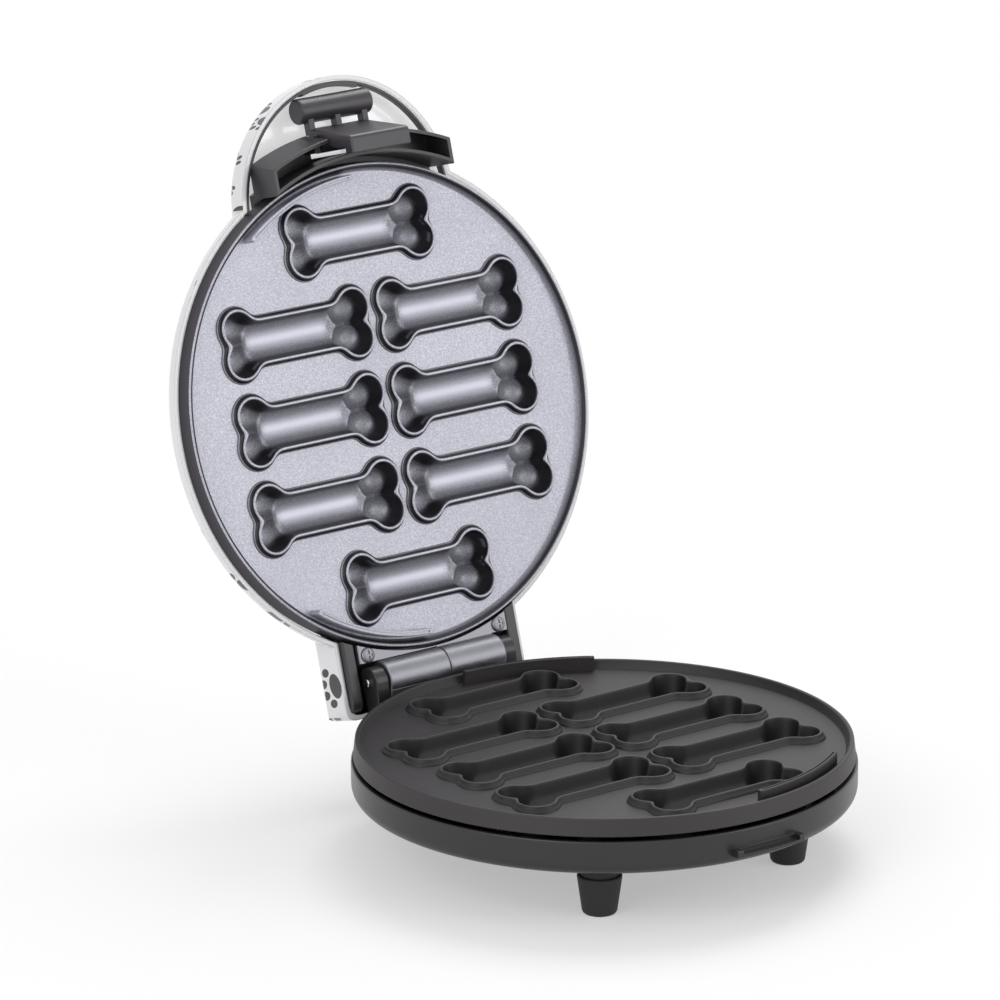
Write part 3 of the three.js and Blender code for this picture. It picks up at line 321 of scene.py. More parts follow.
floor_mixed = floor_finish.node("ShaderNodeMixShader", values={
    0: faded * seen_white(floor_finish),
    1: Value(floor_finish.tree, floor_finish.shader.outputs[0]),
    2: glow,
})
feed(floor_finish.tree, floor_finish.tree.nodes["Material Output"].inputs["Surface"], floor_mixed)
floor_mesh.materials.append(floor_finish.material)

room_light = 0.62
world = bpy.data.worlds.new("studio")
world.use_nodes = True
scene.world = world
backdrop = world.node_tree.nodes["Background"]
backdrop_strength = room_light + seen_white(Nodes(world.node_tree)) * (1 - room_light)
feed(world.node_tree, backdrop.inputs["Strength"], backdrop_strength)
backdrop.inputs["Color"].default_value = white
print("floor fades from", floor_fade_start, "to", floor_fade_end, "metres")

# %% Lamps
soft_boxes = [  # name, place, width and height in metres, and power
    ("key", (0.7, 0.55, 1.5), (0.9, 0.9), 14),
    ("front", (0.9, -1.4, 0.5), (0.9, 1.3), 8),
    ("left", (-1.3, -0.5, 0.75), (0.9, 1.2), 8),
]


def lamp(name, place, size, power):
    """A soft box aimed from its place at the middle of the plates."""
    data = bpy.data.lights.new(name, "AREA")
    data.shape = "RECTANGLE"
    data.size, data.size_y = size
    data.energy = power
    aim = Vector(plate_centre) - Vector(place)
    turn = aim.to_track_quat("-Z", "Y").to_matrix().to_4x4()
    soft_box = bpy.data.objects.new(name, data)
    soft_box.matrix_world = Matrix.Translation(place) @ turn
    scene.collection.objects.link(soft_box)


for soft_box in soft_boxes:
    lamp(*soft_box)
scene.view_settings.view_transform = "Standard"
print("three soft boxes and a white room")

# %% [markdown]
# Most pieces are mouldings, castings and turned parts. Blender's own primitives and modifiers
# could make them, but their corners and wall thicknesses would then depend on each other. A
# handful of helpers draws them all from outlines instead: an outline is softened at its corners,
# carried straight through as a block, or turned round an axis. Every helper works on whole arrays
# and gives a closed surface.

# %% Outlines
corner_share = 0.45  # a soft corner takes at most this share of each side


def arc(centre, radius, start, end, steps):
    """Points on a circle: centre + radius (cos a, sin a), with a from start to end in degrees."""
    angle = np.radians(np.linspace(start, end, steps + 1))
    return centre + radius * np.column_stack([np.cos(angle), np.sin(angle)])


def circle(radius, sides, centre=(0, 0)):
    """A whole turn of arc, without the last point, because it is the first again."""
    return arc(centre, radius, 0, 360, sides)[:-1]


def soften(outline, radius, steps=4, closed=True, straight_degrees=20):
    """An outline with round corners: at a corner c the sides are left radius away, at a and b,
    and joined by the curve (1 - t)^2 a + 2 t (1 - t) c + t^2 b. Bends gentler than straight_degrees
    stay as they are, and the two ends of an open line too."""
    corner = np.asarray(outline, float)
    radius = np.broadcast_to(radius, len(corner))[:, None]
    back = np.roll(corner, 1, 0) - corner
    ahead = np.roll(corner, -1, 0) - corner
    back_length = np.linalg.norm(back, axis=1, keepdims=True)
    ahead_length = np.linalg.norm(ahead, axis=1, keepdims=True)
    cosine = -(back * ahead).sum(1, keepdims=True) / (back_length * ahead_length)
    bend = np.degrees(np.arccos(np.clip(cosine, -1, 1)))[:, 0]
    a = corner + back * np.minimum(radius / back_length, corner_share)
    b = corner + ahead * np.minimum(radius / ahead_length, corner_share)
    t = np.linspace(0, 1, steps + 1)[None, :, None]
    curve = (1 - t) ** 2 * a[:, None] + 2 * t * (1 - t) * corner[:, None] + t ** 2 * b[:, None]
    plain = (bend < straight_degrees) | (radius[:, 0] == 0)
    if not closed:
        plain[[0, -1]] = True
    curve[plain] = corner[plain][:, None]
    keep = np.ones(curve.shape[:2], bool)
    keep[plain, 1:] = False
    return curve[keep]


def inset(outline, distance):
    """An outline drawn in along its corners' bisectors: p + d (m + n) / (1 + m.n), where m and n
    are the inward normals of the two sides that meet at p."""
    ahead = np.roll(outline, -1, 0) - outline
    ahead = ahead / np.linalg.norm(ahead, axis=1, keepdims=True)
    normal = np.column_stack([-ahead[:, 1], ahead[:, 0]])
    before = np.roll(normal, 1, 0)
    return outline + distance * (normal + before) / (1 + (normal * before).sum(1, keepdims=True))


def raised(outline, height):
    """The points of a flat outline at this height."""
    return np.column_stack([outline, np.full(len(outline), height)])


rounded_square = soften([[0, 0], [10, 0], [10, 10], [0, 10]], 2)
print("a square with soft corners has", len(rounded_square), "points")

# %% Closed surfaces
weld_distance = 1e-3
axis_orders = {"x": [2, 0, 1], "y": [0, 2, 1], "z": [0, 1, 2]}


def quads(rows, columns, wrap_rows=False):
    """Corner numbers of the faces of a grid whose columns close on themselves."""
    row = np.arange(rows if wrap_rows else rows - 1)[:, None]
    column = np.arange(columns)[None, :]
    next_row = (row + 1) % rows
    next_column = (column + 1) % columns
    faces = [row * columns + column, row * columns + next_column,
             next_row * columns + next_column, next_row * columns + column]
    return np.stack(np.broadcast_arrays(*faces), -1).reshape(-1, 4)


def solid(points, *faces):
    """A closed mesh object of these points and arrays of faces. Points that coincide are welded,
    and if the volume comes out negative every face is turned round."""
    mesh = bpy.data.meshes.new("drawn")
    corners = np.concatenate([np.ravel(face) for face in faces])
    sizes = np.concatenate([np.full(len(face), np.shape(face)[1]) for face in faces])
    mesh.vertices.add(len(points))
    mesh.vertices.foreach_set("co", np.ravel(points))
    mesh.loops.add(len(corners))
    mesh.loops.foreach_set("vertex_index", corners)
    mesh.polygons.add(len(sizes))
    mesh.polygons.foreach_set("loop_start", np.cumsum(sizes) - sizes)
    mesh.update(calc_edges=True)
    work = bmesh.new()
    work.from_mesh(mesh)
    bmesh.ops.remove_doubles(work, verts=work.verts, dist=weld_distance)
    if work.calc_volume(signed=True) < 0:
        bmesh.ops.reverse_faces(work, faces=work.faces)
    work.to_mesh(mesh)
    work.free()
    made = bpy.data.objects.new("drawn", mesh)
    scene.collection.objects.link(made)
    return made


def revolved(profile, sides):
    """Points [row, side, xyz] of a profile of (r, height) about z: x = r cos a, y = r sin a."""
    radius, height = np.asarray(profile, float).T[:, :, None]
    angle = np.linspace(0, 2 * math.pi, sides, endpoint=False)[None, :]
    sheets = np.broadcast_arrays(radius * np.cos(angle), radius * np.sin(angle), height)
    return np.stack(sheets, -1)


def turned(profile, sides=240, closed=False):
    """A turned part. An open profile runs from pole to pole, and a closed one makes a ring."""
    points = revolved(profile, sides)
    return solid(points.reshape(-1, 3), quads(len(points), sides, closed))


def drum(radius, low, high):
    """A disc or a round block about z: the profile (0, low), (r, low), (r, high), (0, high)."""
    return turned([(0, low), (radius, low), (radius, high), (0, high)])


def hoop(inner, outer, low, high, softness=0, sides=240):
    """A ring about z: a rectangle from inner to outer and from low to high, turned."""
    section = [(inner, low), (outer, low), (outer, high), (inner, high)]
    return turned(soften(section, softness), sides, closed=True)


def block(outline, low, high, edge=0.0, steps=3, axis="z"):
    """An outline carried from low to high along an axis, with its two rims rounded: near an end
    the outline is inset by edge (1 - sin a) where it stands edge (1 - cos a) inside that end."""
    outline = np.asarray(outline, float)
    turn = np.linspace(0, math.pi / 2, steps + 1) if edge else np.array([math.pi / 2])
    into = edge * (1 - np.sin(turn))
    rise = edge * (1 - np.cos(turn)) if edge else np.zeros(1)
    depths = np.concatenate([into, into[::-1]])
    heights = np.concatenate([low + rise, high - rise[::-1]])
    rings = [raised(inset(outline, depth), height) for depth, height in zip(depths, heights)]
    points = np.concatenate(rings)[:, axis_orders[axis]]
    first_cap = np.arange(len(outline))[::-1][None]
    last_cap = len(points) - len(outline) + np.arange(len(outline))[None]
    return solid(points, quads(len(rings), len(outline)), first_cap, last_cap)


def box(left, right, front, back, low, high, edge=0.0, corner=0.0):
    """A rectangle in plan with round corners, carried from low to high."""
    outline = [[left, front], [right, front], [right, back], [left, back]]
    return block(soften(outline, corner), low, high, edge)


def rod(radius, low, high, centre, axis="z", edge=0.0, sides=48):
    """A round bar along an axis; centre is the pair of the two other coordinates."""
    return block(circle(radius, sides, centre), low, high, edge, axis=axis)


print("turned parts, blocks, boxes and bars")


# %% Moves and booleans
def shifted(made, x=0.0, y=0.0, z=0.0):
    """Every point p goes to p + (x, y, z)."""
    made.data.transform(Matrix.Translation((x, y, z)))
    return made


def rotated(made, degrees, axis):
    """Every point turns about an axis through the origin."""
    made.data.transform(Matrix.Rotation(math.radians(degrees), 4, axis))
    return made


def combined(first, others, operation):
    """Booleans between closed surfaces. The cutters are used up."""
    for other in others:
        step = first.modifiers.new("step", "BOOLEAN")
        step.operation = operation
        step.solver = "MANIFOLD"
        step.object = other
    graph = bpy.context.evaluated_depsgraph_get()
    mesh = bpy.data.meshes.new_from_object(first.evaluated_get(graph))
    first.modifiers.clear()
    first.data = mesh
    for other in others:
        bpy.data.objects.remove(other)
    return first


def join(first, *others):
    """What is inside any of them."""
    return combined(first, others, "UNION")


def cut(first, *others):
    """What is inside the first and outside all others."""
    return combined(first, others, "DIFFERENCE")


def common(first, *others):
    """What is inside all of them."""
    return combined(first, others, "INTERSECT")


print("pieces can be moved, joined, cut and intersected")


# %% Reading a mesh and writing on it
def read(items, word, width=1, kind=float):
    """One value of each item of a mesh as an array, with a row for each item if it has a width."""
    values = np.empty(len(items) * width, kind)
    items.foreach_get(word, values)
    return values.reshape(-1, width) if width > 1 else values


def keep(made, domain, **shares):
    """Keeps named shares on the points or faces of a mesh, for its material to read."""
    for name, values in shares.items():
        attribute = made.data.attributes.new(name, "FLOAT", domain)
        attribute.data.foreach_set("value", values.astype(np.float32))


print("arrays go into a mesh and come out of it")

# %% [markdown]
# A drawn piece becomes part of the cooker in one step: its points are carried to their place, its
# faces are shaded smoothly except across sharp edges, it is hung from the body it moves with, it
# takes its finish, and the nodes of the construction model that it stands for are hidden. Large
# faces lead the shading, because a Bevel modifier on every piece would cost far more faces.

# %% Seating a finished piece
sharp_degrees = 32
seated = {}


def seat(made, name, body, finish, replaced, over=False):
    """Carries a drawn piece to its place in the frame and signs it in."""
    points = read(made.data.vertices, "co", 3)
    if over:
        points = overturned(points)
    made.data.vertices.foreach_set("co", placed(points, body).ravel())
    made.data.shade_smooth()
    made.data.set_sharp_from_angle(angle=math.radians(sharp_degrees))
    made.data.update()
    made.name = name
    made.data.name = name
    even = made.modifiers.new("even shading", "WEIGHTED_NORMAL")
    even.keep_sharp = True
    made.data.materials.clear()
    made.data.materials.append(finish.material)
    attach(made, body)
    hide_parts(*replaced)
    seated[name] = len(made.data.polygons)


print("pieces are seated by name")

# %% [markdown]
# Black plastic. The base, the lid's frame and the latch are mouldings with a fine spark-eroded
# grain that scatters the highlights a little. One flat grey with a fixed gloss would look like
# paint, so the grain goes into the relief, slow blotches of handling go into the roughness, and a
# rounded edge is laid into the normals where two mouldings meet at a corner too small to draw.

# %% Black moulded plastic
handling_size = 24
handling_light, handling_gloss = 1.25, 0.12
spark_size = 0.5
spark_depth, spark_gloss = 0.03, 0.08
moulded_corner = 0.35


def moulded_black(name, colour, roughness):
    """Handling lightens the colour and dulls the gloss; the spark grain is the relief."""
    finish = Finish(name, Specular_IOR_Level=0.5)
    handling = finish.noise(handling_size, 3)
    spark = finish.noise(spark_size, 1)
    finish.into("Base Color", finish.mix(handling, colour, times(colour, handling_light)))
    finish.into("Roughness", roughness + handling.swing(handling_gloss) + spark.swing(spark_gloss))
    finish.bumps(spark, spark_depth, edge=moulded_corner)
    return finish


housing_black = moulded_black("housing_black", tone(30, 29, 31), 0.34)
frame_black = moulded_black("frame_black", tone(45, 43, 46), 0.38)
latch_black = moulded_black("latch_black", tone(48, 45, 50), 0.38)
print("blacks:", [black.material.name for black in (housing_black, frame_black, latch_black)])

# %% [markdown]
# White gloss. The lid is a glossy moulding with a scattered paw print. A print laid on from one
# side would smear down the walls, so the shell carries its own flat map: each point lies in its
# direction from the top of the dome, as far out as the surface runs to reach it. Voronoi cells
# scatter the prints over that map; each cell turns its own print by a chance angle, and a print is
# five ovals, a pad and four toes.

# %% White gloss with a paw print
paw_pitch = 31.0
paw_scatter = 0.55
paw_half = 9.4
pad_oval = (0.0, -0.30, 0.56, 0.44)  # across, up, half width and half height, as shares of a paw
toe_ovals = [
    (side * across, up, half_width, half_height) for side in (-1, 1)
    for across, up, half_width, half_height in ((0.70, 0.18, 0.19, 0.27), (0.26, 0.58, 0.20, 0.30))
]
oval_edge = (0.92, 1.08)


def paw_print(finish):
    """1 inside a paw, 0 outside: the least of the ovals' (x / w)^2 + (y / h)^2 is tested
    against 1."""
    flat = finish.node("ShaderNodeUVMap", {"uv_map": "unrolled"})
    settings = {"voronoi_dimensions": "2D"}
    values = {"Vector": flat, "Scale": 1 / paw_pitch, "Randomness": paw_scatter}
    colour = finish.node("ShaderNodeTexVoronoi", settings, values, output="Color")
    centre = finish.node("ShaderNodeTexVoronoi", settings, values, output="Position")
    chance = finish.node("ShaderNodeSeparateColor", values={"Color": colour})
    offset = finish.node("ShaderNodeVectorMath", {"operation": "SUBTRACT"}, {0: flat, 1: centre})
    turned_by = finish.node("ShaderNodeVectorRotate", {"rotation_type": "Z_AXIS"}, {
        "Vector": offset, "Angle": chance * 2 * math.pi,
    })
    across, up = [
        finish.node("ShaderNodeSeparateXYZ", values={"Vector": turned_by}, output=part) / paw_half
        for part in "XY"
    ]
    ovals = [((across - x) / half_width) ** 2 + ((up - y) / half_height) ** 2
             for x, y, half_width, half_height in (pad_oval, *toe_ovals)]
    least = ovals[0]
    for oval in ovals[1:]:
        least = least.smaller(oval)
    return 1 - least.between(*oval_edge)


print("paws every", paw_pitch, "mm")

# %% The shell's gloss
print_black = tone(14, 13, 15)
shell_roughness, print_gloss = 0.14, 0.06
shell_white, shell_cloud = tone(220, 220, 221), tone(214, 214, 218)
shell_painted_glow = 0.45  # painted glow of the inside faces, standing in for light there
cloud_size, cloud_gloss = 40, 0.06
lining_gloss = 0.3
swell_size, swell_depth = 14, 0.02
shell_corner = 1.2


def shell_gloss():
    """The inside faces take a painted glow, and the inside of the hinge's bay is black."""
    finish = Finish("shell_gloss", Specular_IOR_Level=0.5, Coat_Roughness=0.04, Coat_Weight=0.4,
                    Emission_Strength=shell_painted_glow)
    outside, inside, lining = [finish.kept(name) for name in ("outside", "inside", "lining")]
    paw = paw_print(finish) * outside
    cloud = finish.noise(cloud_size)
    body = finish.mix(cloud, shell_white, shell_cloud)
    finish.into("Base Color", finish.mix(paw.larger(lining), body, print_black))
    dulled = cloud * cloud_gloss + paw * print_gloss + lining * lining_gloss
    finish.into("Roughness", shell_roughness + dulled)
    # painted glow: the inside faces glow white, in place of light that reaches them
    finish.into("Emission Color", finish.mix(inside, (0, 0, 0, 1), white))
    finish.bumps(finish.noise(swell_size), swell_depth, 0.3, edge=shell_corner)
    return finish


lid_white = shell_gloss()
print("gloss for the shell:", lid_white.material.name)

# %% [markdown]
# Non-stick coating. Both plates are cast aluminium under a sprayed coating, smooth but pebbled
# like fine orange peel, with a mineral sparkle. Shade and a highlight are painted into its colour:
# the steep sides of the wells, the foot and upper wall of each collar and the slope inside the rim
# take painted shade, and the level floor of each shank a painted highlight. A shader can't know
# where those are from the normals alone, because the lid leans, so they are worked out with the
# plate's surface and kept as attributes on its points, and the material reads these: the painted
# shade, the trough's painted highlight and rim_side.

# %% Coatings for the two plates
pebble_size, speck_size, mottle_size = 1.0, 0.62, 30
pebble_share = 0.7
speck_edges = (0.35, 0.75)
worn_share, worn_tone = 0.4, 0.86
# how far the trough's level floor is painted lighter, as a highlight
trough_painted_highlight = 0.8
speck_gloss, mottle_gloss = 0.16, 0.06
peel_depth = 0.06


def coating(name, flat, steep, side, metal, roughness, sparkle):
    """flat is the colour of the level faces, steep the painted shade of the walls and side the
    rim's;
    sparkle is how much lighter than flat the specks and the trough's painted highlight are."""
    finish = Finish(name, Metallic=metal, Specular_IOR_Level=0.5)
    shade, rim_side, trough = [finish.kept(word) for word in ("shade", "rim_side", "trough")]
    pebble = finish.noise(pebble_size)
    speck = finish.noise(speck_size, 1)
    mottle = finish.noise(mottle_size, 3)
    sparkling = times(flat, sparkle)
    lit = finish.mix(speck.between(*speck_edges), flat, sparkling)
    worn = finish.mix(mottle * worn_share, lit, times(flat, worn_tone))
    # painted highlight: the trough's level floor is lightened towards the specks' colour
    bright = finish.mix(trough * trough_painted_highlight, worn, sparkling)
    # painted shade: where the mesh keeps it the colour goes to steep, and on the rim's side to side
    finish.into("Base Color", finish.mix(rim_side, finish.mix(shade, bright, steep), side))
    finish.into("Roughness", roughness + speck.swing(speck_gloss) + mottle * mottle_gloss)
    finish.bumps(pebble * pebble_share + speck * (1 - pebble_share), peel_depth)
    return finish


upper_coating = coating(
    "upper_coating", tone(156, 156, 166), tone(22, 20, 25), tone(66, 63, 68),
    metal=0.35, roughness=0.36, sparkle=1.7,
)
lower_coating = coating(
    "lower_coating", tone(35, 32, 34), tone(18, 16, 18), tone(50, 46, 48),
    metal=0.15, roughness=0.5, sparkle=1.6,
)
print("two coatings")

# %% [markdown]
# Metals and rubber. The hinge is pressed and rolled zinc-plated steel with a satin grain along its
# length. Screws and pins are bright. The heater's sheath is dull from heat, and the reflector
# under it is bright rolled sheet. The feet are matt rubber. One recipe serves every metal, since
# they differ only in tone, in gloss and in how far their grain is drawn out.

# %% Metals
patina_size = 9
grain_share = 0.6
grain_gloss, patina_gloss = 0.2, 0.1
metal_corner = 0.2


def metal(name, dark, light, roughness, grain_size, stretch, depth):
    """Drawn-out grain and a slow patina, mixed, run from the dark tone to the light one."""
    finish = Finish(name, Metallic=1.0)
    grain = finish.noise(grain_size, 3, stretch)
    patina = finish.noise(patina_size)
    mixed = grain * grain_share + patina * (1 - grain_share)
    finish.into("Base Color", finish.mix(mixed, tone(*dark), tone(*light)))
    finish.into("Roughness", roughness + grain.swing(grain_gloss) + patina.swing(patina_gloss))
    finish.bumps(grain, depth, edge=metal_corner)
    return finish


hinge_zinc, bright_steel, heater_sheath, rolled_sheet = [
    metal(*recipe) for recipe in (  # dark and light tone, roughness, grain, its stretch and depth
        ("hinge_zinc", (106, 106, 112), (154, 154, 160), 0.44, 0.4, (0.15, 1, 1), 0.02),
        ("bright_steel", (170, 171, 175), (214, 215, 218), 0.24, 0.3, (1, 1, 0.2), 0.01),
        ("heater_sheath", (84, 80, 78), (128, 118, 108), 0.5, 1.5, (1, 1, 1), 0.03),
        ("rolled_sheet", (180, 182, 186), (222, 224, 228), 0.28, 0.6, (0.05, 1, 1), 0.01),
    )
]
print("four metals")

# %% Rubber and sleeving
rubber_roughness = 0.52
rubber_grain, rubber_depth = 0.6, 0.04
dust_size, dust_light, dust_gloss = 6, 1.5, 0.2
thread_scale, thread_wander, thread_depth = 0.4, 0.3, 0.1


def rubber(name, colour):
    """Dust lightens the colour and dulls it further, over a fine matt grain."""
    finish = Finish(name, Specular_IOR_Level=0.4)
    dust = finish.noise(dust_size, 3)
    finish.into("Base Color", finish.mix(dust, colour, times(colour, dust_light)))
    finish.into("Roughness", rubber_roughness + dust * dust_gloss)
    finish.bumps(finish.noise(rubber_grain), rubber_depth)
    return finish


def sleeve(name, colour, thread):
    """Woven glass sleeving: two sets of threads that cross, each a sine wave over the piece."""
    finish = Finish(name, Roughness=0.6, Specular_IOR_Level=0.3)
    one, other = [
        finish.node("ShaderNodeTexWave", values={
            "Vector": finish.place(turn=(0, 0, turn)), "Scale": thread_scale,
            "Distortion": thread_wander,
        }, output="Fac")
        for turn in (math.pi / 4, -math.pi / 4)
    ]
    weave = one * other
    finish.into("Base Color", finish.mix(weave, thread, colour))
    finish.bumps(weave, thread_depth, 0.6)
    return finish


foot_rubber = rubber("foot_rubber", tone(34, 32, 34))
gland_rubber = rubber("gland_rubber", tone(36, 35, 37))
control_body = rubber("control_body", tone(214, 206, 192))
lead_sleeve = sleeve("lead_sleeve", tone(224, 220, 210), tone(176, 170, 158))
print("rubber, the controls' bodies and sleeving")

# %% [markdown]
# The bone. Every well, collar and bulge of a plate follows one outline: two round lobes at each
# end with a shallow notch between them, and a straight shank that runs into the lobes through
# hollow fillets. It could be drawn as a spline, but then an outline a little further out would
# have to be drawn again. Made of arcs and grown or shrunk by an offset, it keeps its centres, so
# rings at different offsets match point for point and can be joined into a smooth wall.

# %% Bone outline
bone_length = 75.0
lobe_radius = 8.4
lobe_spread = 6.6
shank_half = 9.4
bone_fillet = 6.0
lobe_x = bone_length / 2 - lobe_radius
fillet_y = shank_half + bone_fillet
fillet_reach = math.sqrt((lobe_radius + bone_fillet) ** 2 - (fillet_y - lobe_spread) ** 2)
fillet_x = lobe_x - fillet_reach
lobe_steps, fillet_steps, shank_steps = 26, 10, 16
notch_passes = 6


def bone_ring(offset):
    """The outline grown by offset, anticlockwise from the notch at its right end. The notch is
    eased by averaging each point with its neighbours a few times."""
    meeting = math.degrees(math.atan2(fillet_y - lobe_spread, -fillet_reach))
    notch = math.degrees(math.asin(min(1, lobe_spread / (lobe_radius + offset))))
    shank_x = np.linspace(fillet_x, 0, shank_steps + 1)
    quarter = np.concatenate([
        arc((lobe_x, lobe_spread), lobe_radius + offset, -notch, meeting, lobe_steps),
        arc((fillet_x, fillet_y), bone_fillet - offset, meeting - 180, -90, fillet_steps)[1:],
        np.column_stack([shank_x, np.full_like(shank_x, shank_half + offset)])[1:],
    ])
    half = np.concatenate([quarter, quarter[-2::-1] * [-1, 1]])
    ring = np.concatenate([half, half[-2:0:-1] * [1, -1]])
    for _ in range(notch_passes):
        ring = (np.roll(ring, 1, 0) + 2 * ring + np.roll(ring, -1, 0)) / 4
    return ring


print("a bone ring has", len(bone_ring(0)), "points")

# %% [markdown]
# A well is a round trough along the shank with two deeper bulbs at each end, and close to the
# collar its wall is steep. Sculpting or booleans would leave creases where these meet. Worked out
# as a sum, the depth is the larger of trough and bulbs, eased where they meet, and never more than
# the steep wall allows.

# %% Depth of a well
wall_offset = -1.2
wall_slope = 5.0
wall_start = 0.55
wall_blend = 1.2
trough_depth = 9.9
trough_fade = 0.5  # the share of its depth that the trough loses towards its ends
fade_start, fade_end = 2.5, 3.0  # how far past the start and the end of the fillet
trough_widening = 1.06
bulb_depth = 12.6
bulb_radius = 9.0
bulb_x, bulb_y = 28.4, 6.1
floor_blend = 0.9


def ease(value, low, high):
    """0 up to low, 1 from high and a smooth S between them."""
    share = np.clip((value - low) / (high - low), 0, 1)
    return share * share * (3 - 2 * share)


def larger(a, b, blend):
    """Nearly the larger of a and b: (a + b + sqrt((a - b)^2 + blend^2)) / 2."""
    return (a + b + np.sqrt((a - b) ** 2 + blend ** 2)) / 2


def smaller(a, b, blend):
    """Nearly the smaller: the same with the root taken away."""
    return (a + b - np.sqrt((a - b) ** 2 + blend ** 2)) / 2


def crown(distance, radius):
    """How high a round of radius 1 stands this far from its middle: sqrt(1 - (d / r)^2)."""
    return np.sqrt(np.clip(1 - (distance / radius) ** 2, 0, 1))


def well_depth(x, y, from_wall):
    """Depth below the collar's crest at a point of the well, this far in from its wall."""
    across = np.abs(x)
    fillet = bone_fillet - wall_offset
    lobe = lobe_radius + wall_offset
    beside_fillet = fillet_y - np.sqrt(np.clip(fillet ** 2 - (across - fillet_x) ** 2, 0, None))
    beside_lobe = lobe_spread + np.sqrt(np.clip(lobe ** 2 - (across - lobe_x) ** 2, 0, None))
    meeting_x = fillet_x + fillet_reach * fillet / (lobe_radius + bone_fillet)
    half = np.where(across < meeting_x, beside_fillet, beside_lobe)
    half = np.where(across < fillet_x, shank_half + wall_offset, half)
    fade = 1 - trough_fade * ease(across, fillet_x + fade_start, meeting_x + fade_end)
    trough = trough_depth * fade * crown(y, trough_widening * half)
    from_bulb = np.hypot(across - bulb_x, np.abs(y) - bulb_y)
    floor = larger(trough, bulb_depth * crown(from_bulb, bulb_radius), floor_blend)
    return smaller(floor, wall_start + wall_slope * from_wall, wall_blend)


deepest = well_depth(np.array(bulb_x), np.array(bulb_y), np.array(bulb_radius))
print("deepest", round(float(deepest), 2), "mm below the crest")

# %% Rings of one bone
flat_depth = 3.6
crest_height = 2.8
collar_profile = [  # offset and height over the plate's face
    (1.7, 0), (1.45, 0.03), (1.3, 0.3), (1.2, 0.72), (1.0, 1.0), (0.55, 1.3), (0.3, 1.75),
    (0.1, 2.3), (-0.1, 2.65), (-0.35, crest_height), (-0.75, crest_height), (-1.0, 2.68),
]
back_depth = 5.6
bulge_profile = [  # offset and height over the parting plane
    (0.2, -back_depth), (0.2, -13.2), (-0.1, -14.6), (-0.6, -15.3), (wall_offset, -15.6),
]
well_rings = 18
well_ring_power = 1.5


def bone_surface():
    """Rings of points [ring, point, xyz] from the plate's face over the collar and down into the
    well, and rings of the bulge on its back. A ring inside the well stands at p + (c - p) t, with
    p on the wall, c the nearest point of the middle line and t from 0 to 1."""
    over = [raised(bone_ring(offset), height - flat_depth) for offset, height in collar_profile]
    wall = bone_ring(wall_offset)
    spine = np.column_stack([np.clip(wall[:, 0], -lobe_x, lobe_x), np.zeros(len(wall))])
    reach = np.linalg.norm(spine - wall, axis=1)
    t = (np.linspace(0, 1, well_rings) ** well_ring_power)[:, None]
    inside = wall + (spine - wall) * t[..., None]
    depth = well_depth(inside[..., 0], inside[..., 1], t * reach)
    heights = crest_height - flat_depth - depth
    inner = np.concatenate([inside, heights[..., None]], -1)
    under = [raised(bone_ring(offset), height) for offset, height in bulge_profile]
    return np.concatenate([over, inner]), np.array(under)


well_surface, bulge_surface = bone_surface()
print("a well has", len(well_surface), "rings, the lowest at", well_surface[..., 2].min().round(2))

# %% [markdown]
# The plate around the bones is flat above and below. A boolean of eight wells would leave long
# thin triangles that catch the light, so the two flats are filled by a Delaunay triangulation that
# keeps the rings of the bones and the round edge as they are, and the rim is a turned profile.
# Everything shares its edge points, so welding makes one closed casting. Two raised ribs along the
# rim keep the plates apart at one side, and four bosses take the screws.

# %% Flats and ribs
plate_sides = 240
triangulation_gap = 1e-6
rib_inner, rib_outer = 94.5, 96.9
rib_foot, rib_top = -4.6, 2.6
rib_steps = 40
rib_corner, rib_edge = 0.7, 0.45
groove_half, groove_depth = 0.35, 0.5
groove_margin = 1  # degrees


def inside_loop(points, loop):
    """Whether each point lies in a loop: a ray to its right crosses the loop an odd number of
    times."""
    x, y = points[:, None, 0], points[:, None, 1]
    start, end = loop[None], np.roll(loop, -1, 0)[None]
    spans = (start[..., 1] > y) != (end[..., 1] > y)
    rise = np.where(spans, end[..., 1] - start[..., 1], 1)
    crossing = start[..., 0] + (y - start[..., 1]) * (end[..., 0] - start[..., 0]) / rise
    return (spans & (crossing > x)).sum(1) % 2 == 1


def filled(loops, height):
    """Points and triangles of the flat between an outer loop and the loops of its holes."""
    starts = np.cumsum([0] + [len(loop) for loop in loops])
    edges = [
        (int(start + i), int(start + (i + 1) % len(loop)))
        for start, loop in zip(starts, loops) for i in range(len(loop))
    ]
    corners = [Vector(point) for point in np.concatenate(loops)]
    made = delaunay_2d_cdt(corners, edges, [], 2, triangulation_gap)
    flat = np.array([point[:] for point in made[0]])
    triangles = np.array(made[2])
    middles = flat[triangles].mean(1)
    for loop in loops[1:]:
        outside = ~inside_loop(middles, loop)
        triangles, middles = triangles[outside], middles[outside]
    return raised(flat, height), triangles


def band(inner, outer, start, end):
    """The outline of a strip between two radii and two angles."""
    return np.concatenate([
        arc((0, 0), outer, start, end, rib_steps), arc((0, 0), inner, end, start, rib_steps),
    ])


def rib(start, end):
    """A bar that follows the rim between two angles, with a groove along its top."""
    outline = band(rib_inner, rib_outer, start, end)
    middle = (rib_inner + rib_outer) / 2
    groove = band(middle - groove_half, middle + groove_half,
                  start + groove_margin, end - groove_margin)
    bar = block(soften(outline, rib_corner), rib_foot, rib_top, edge=rib_edge)
    return cut(bar, block(groove, rib_top - groove_depth, rib_top + 1))


print("flats are filled round holes, and ribs follow the rim")

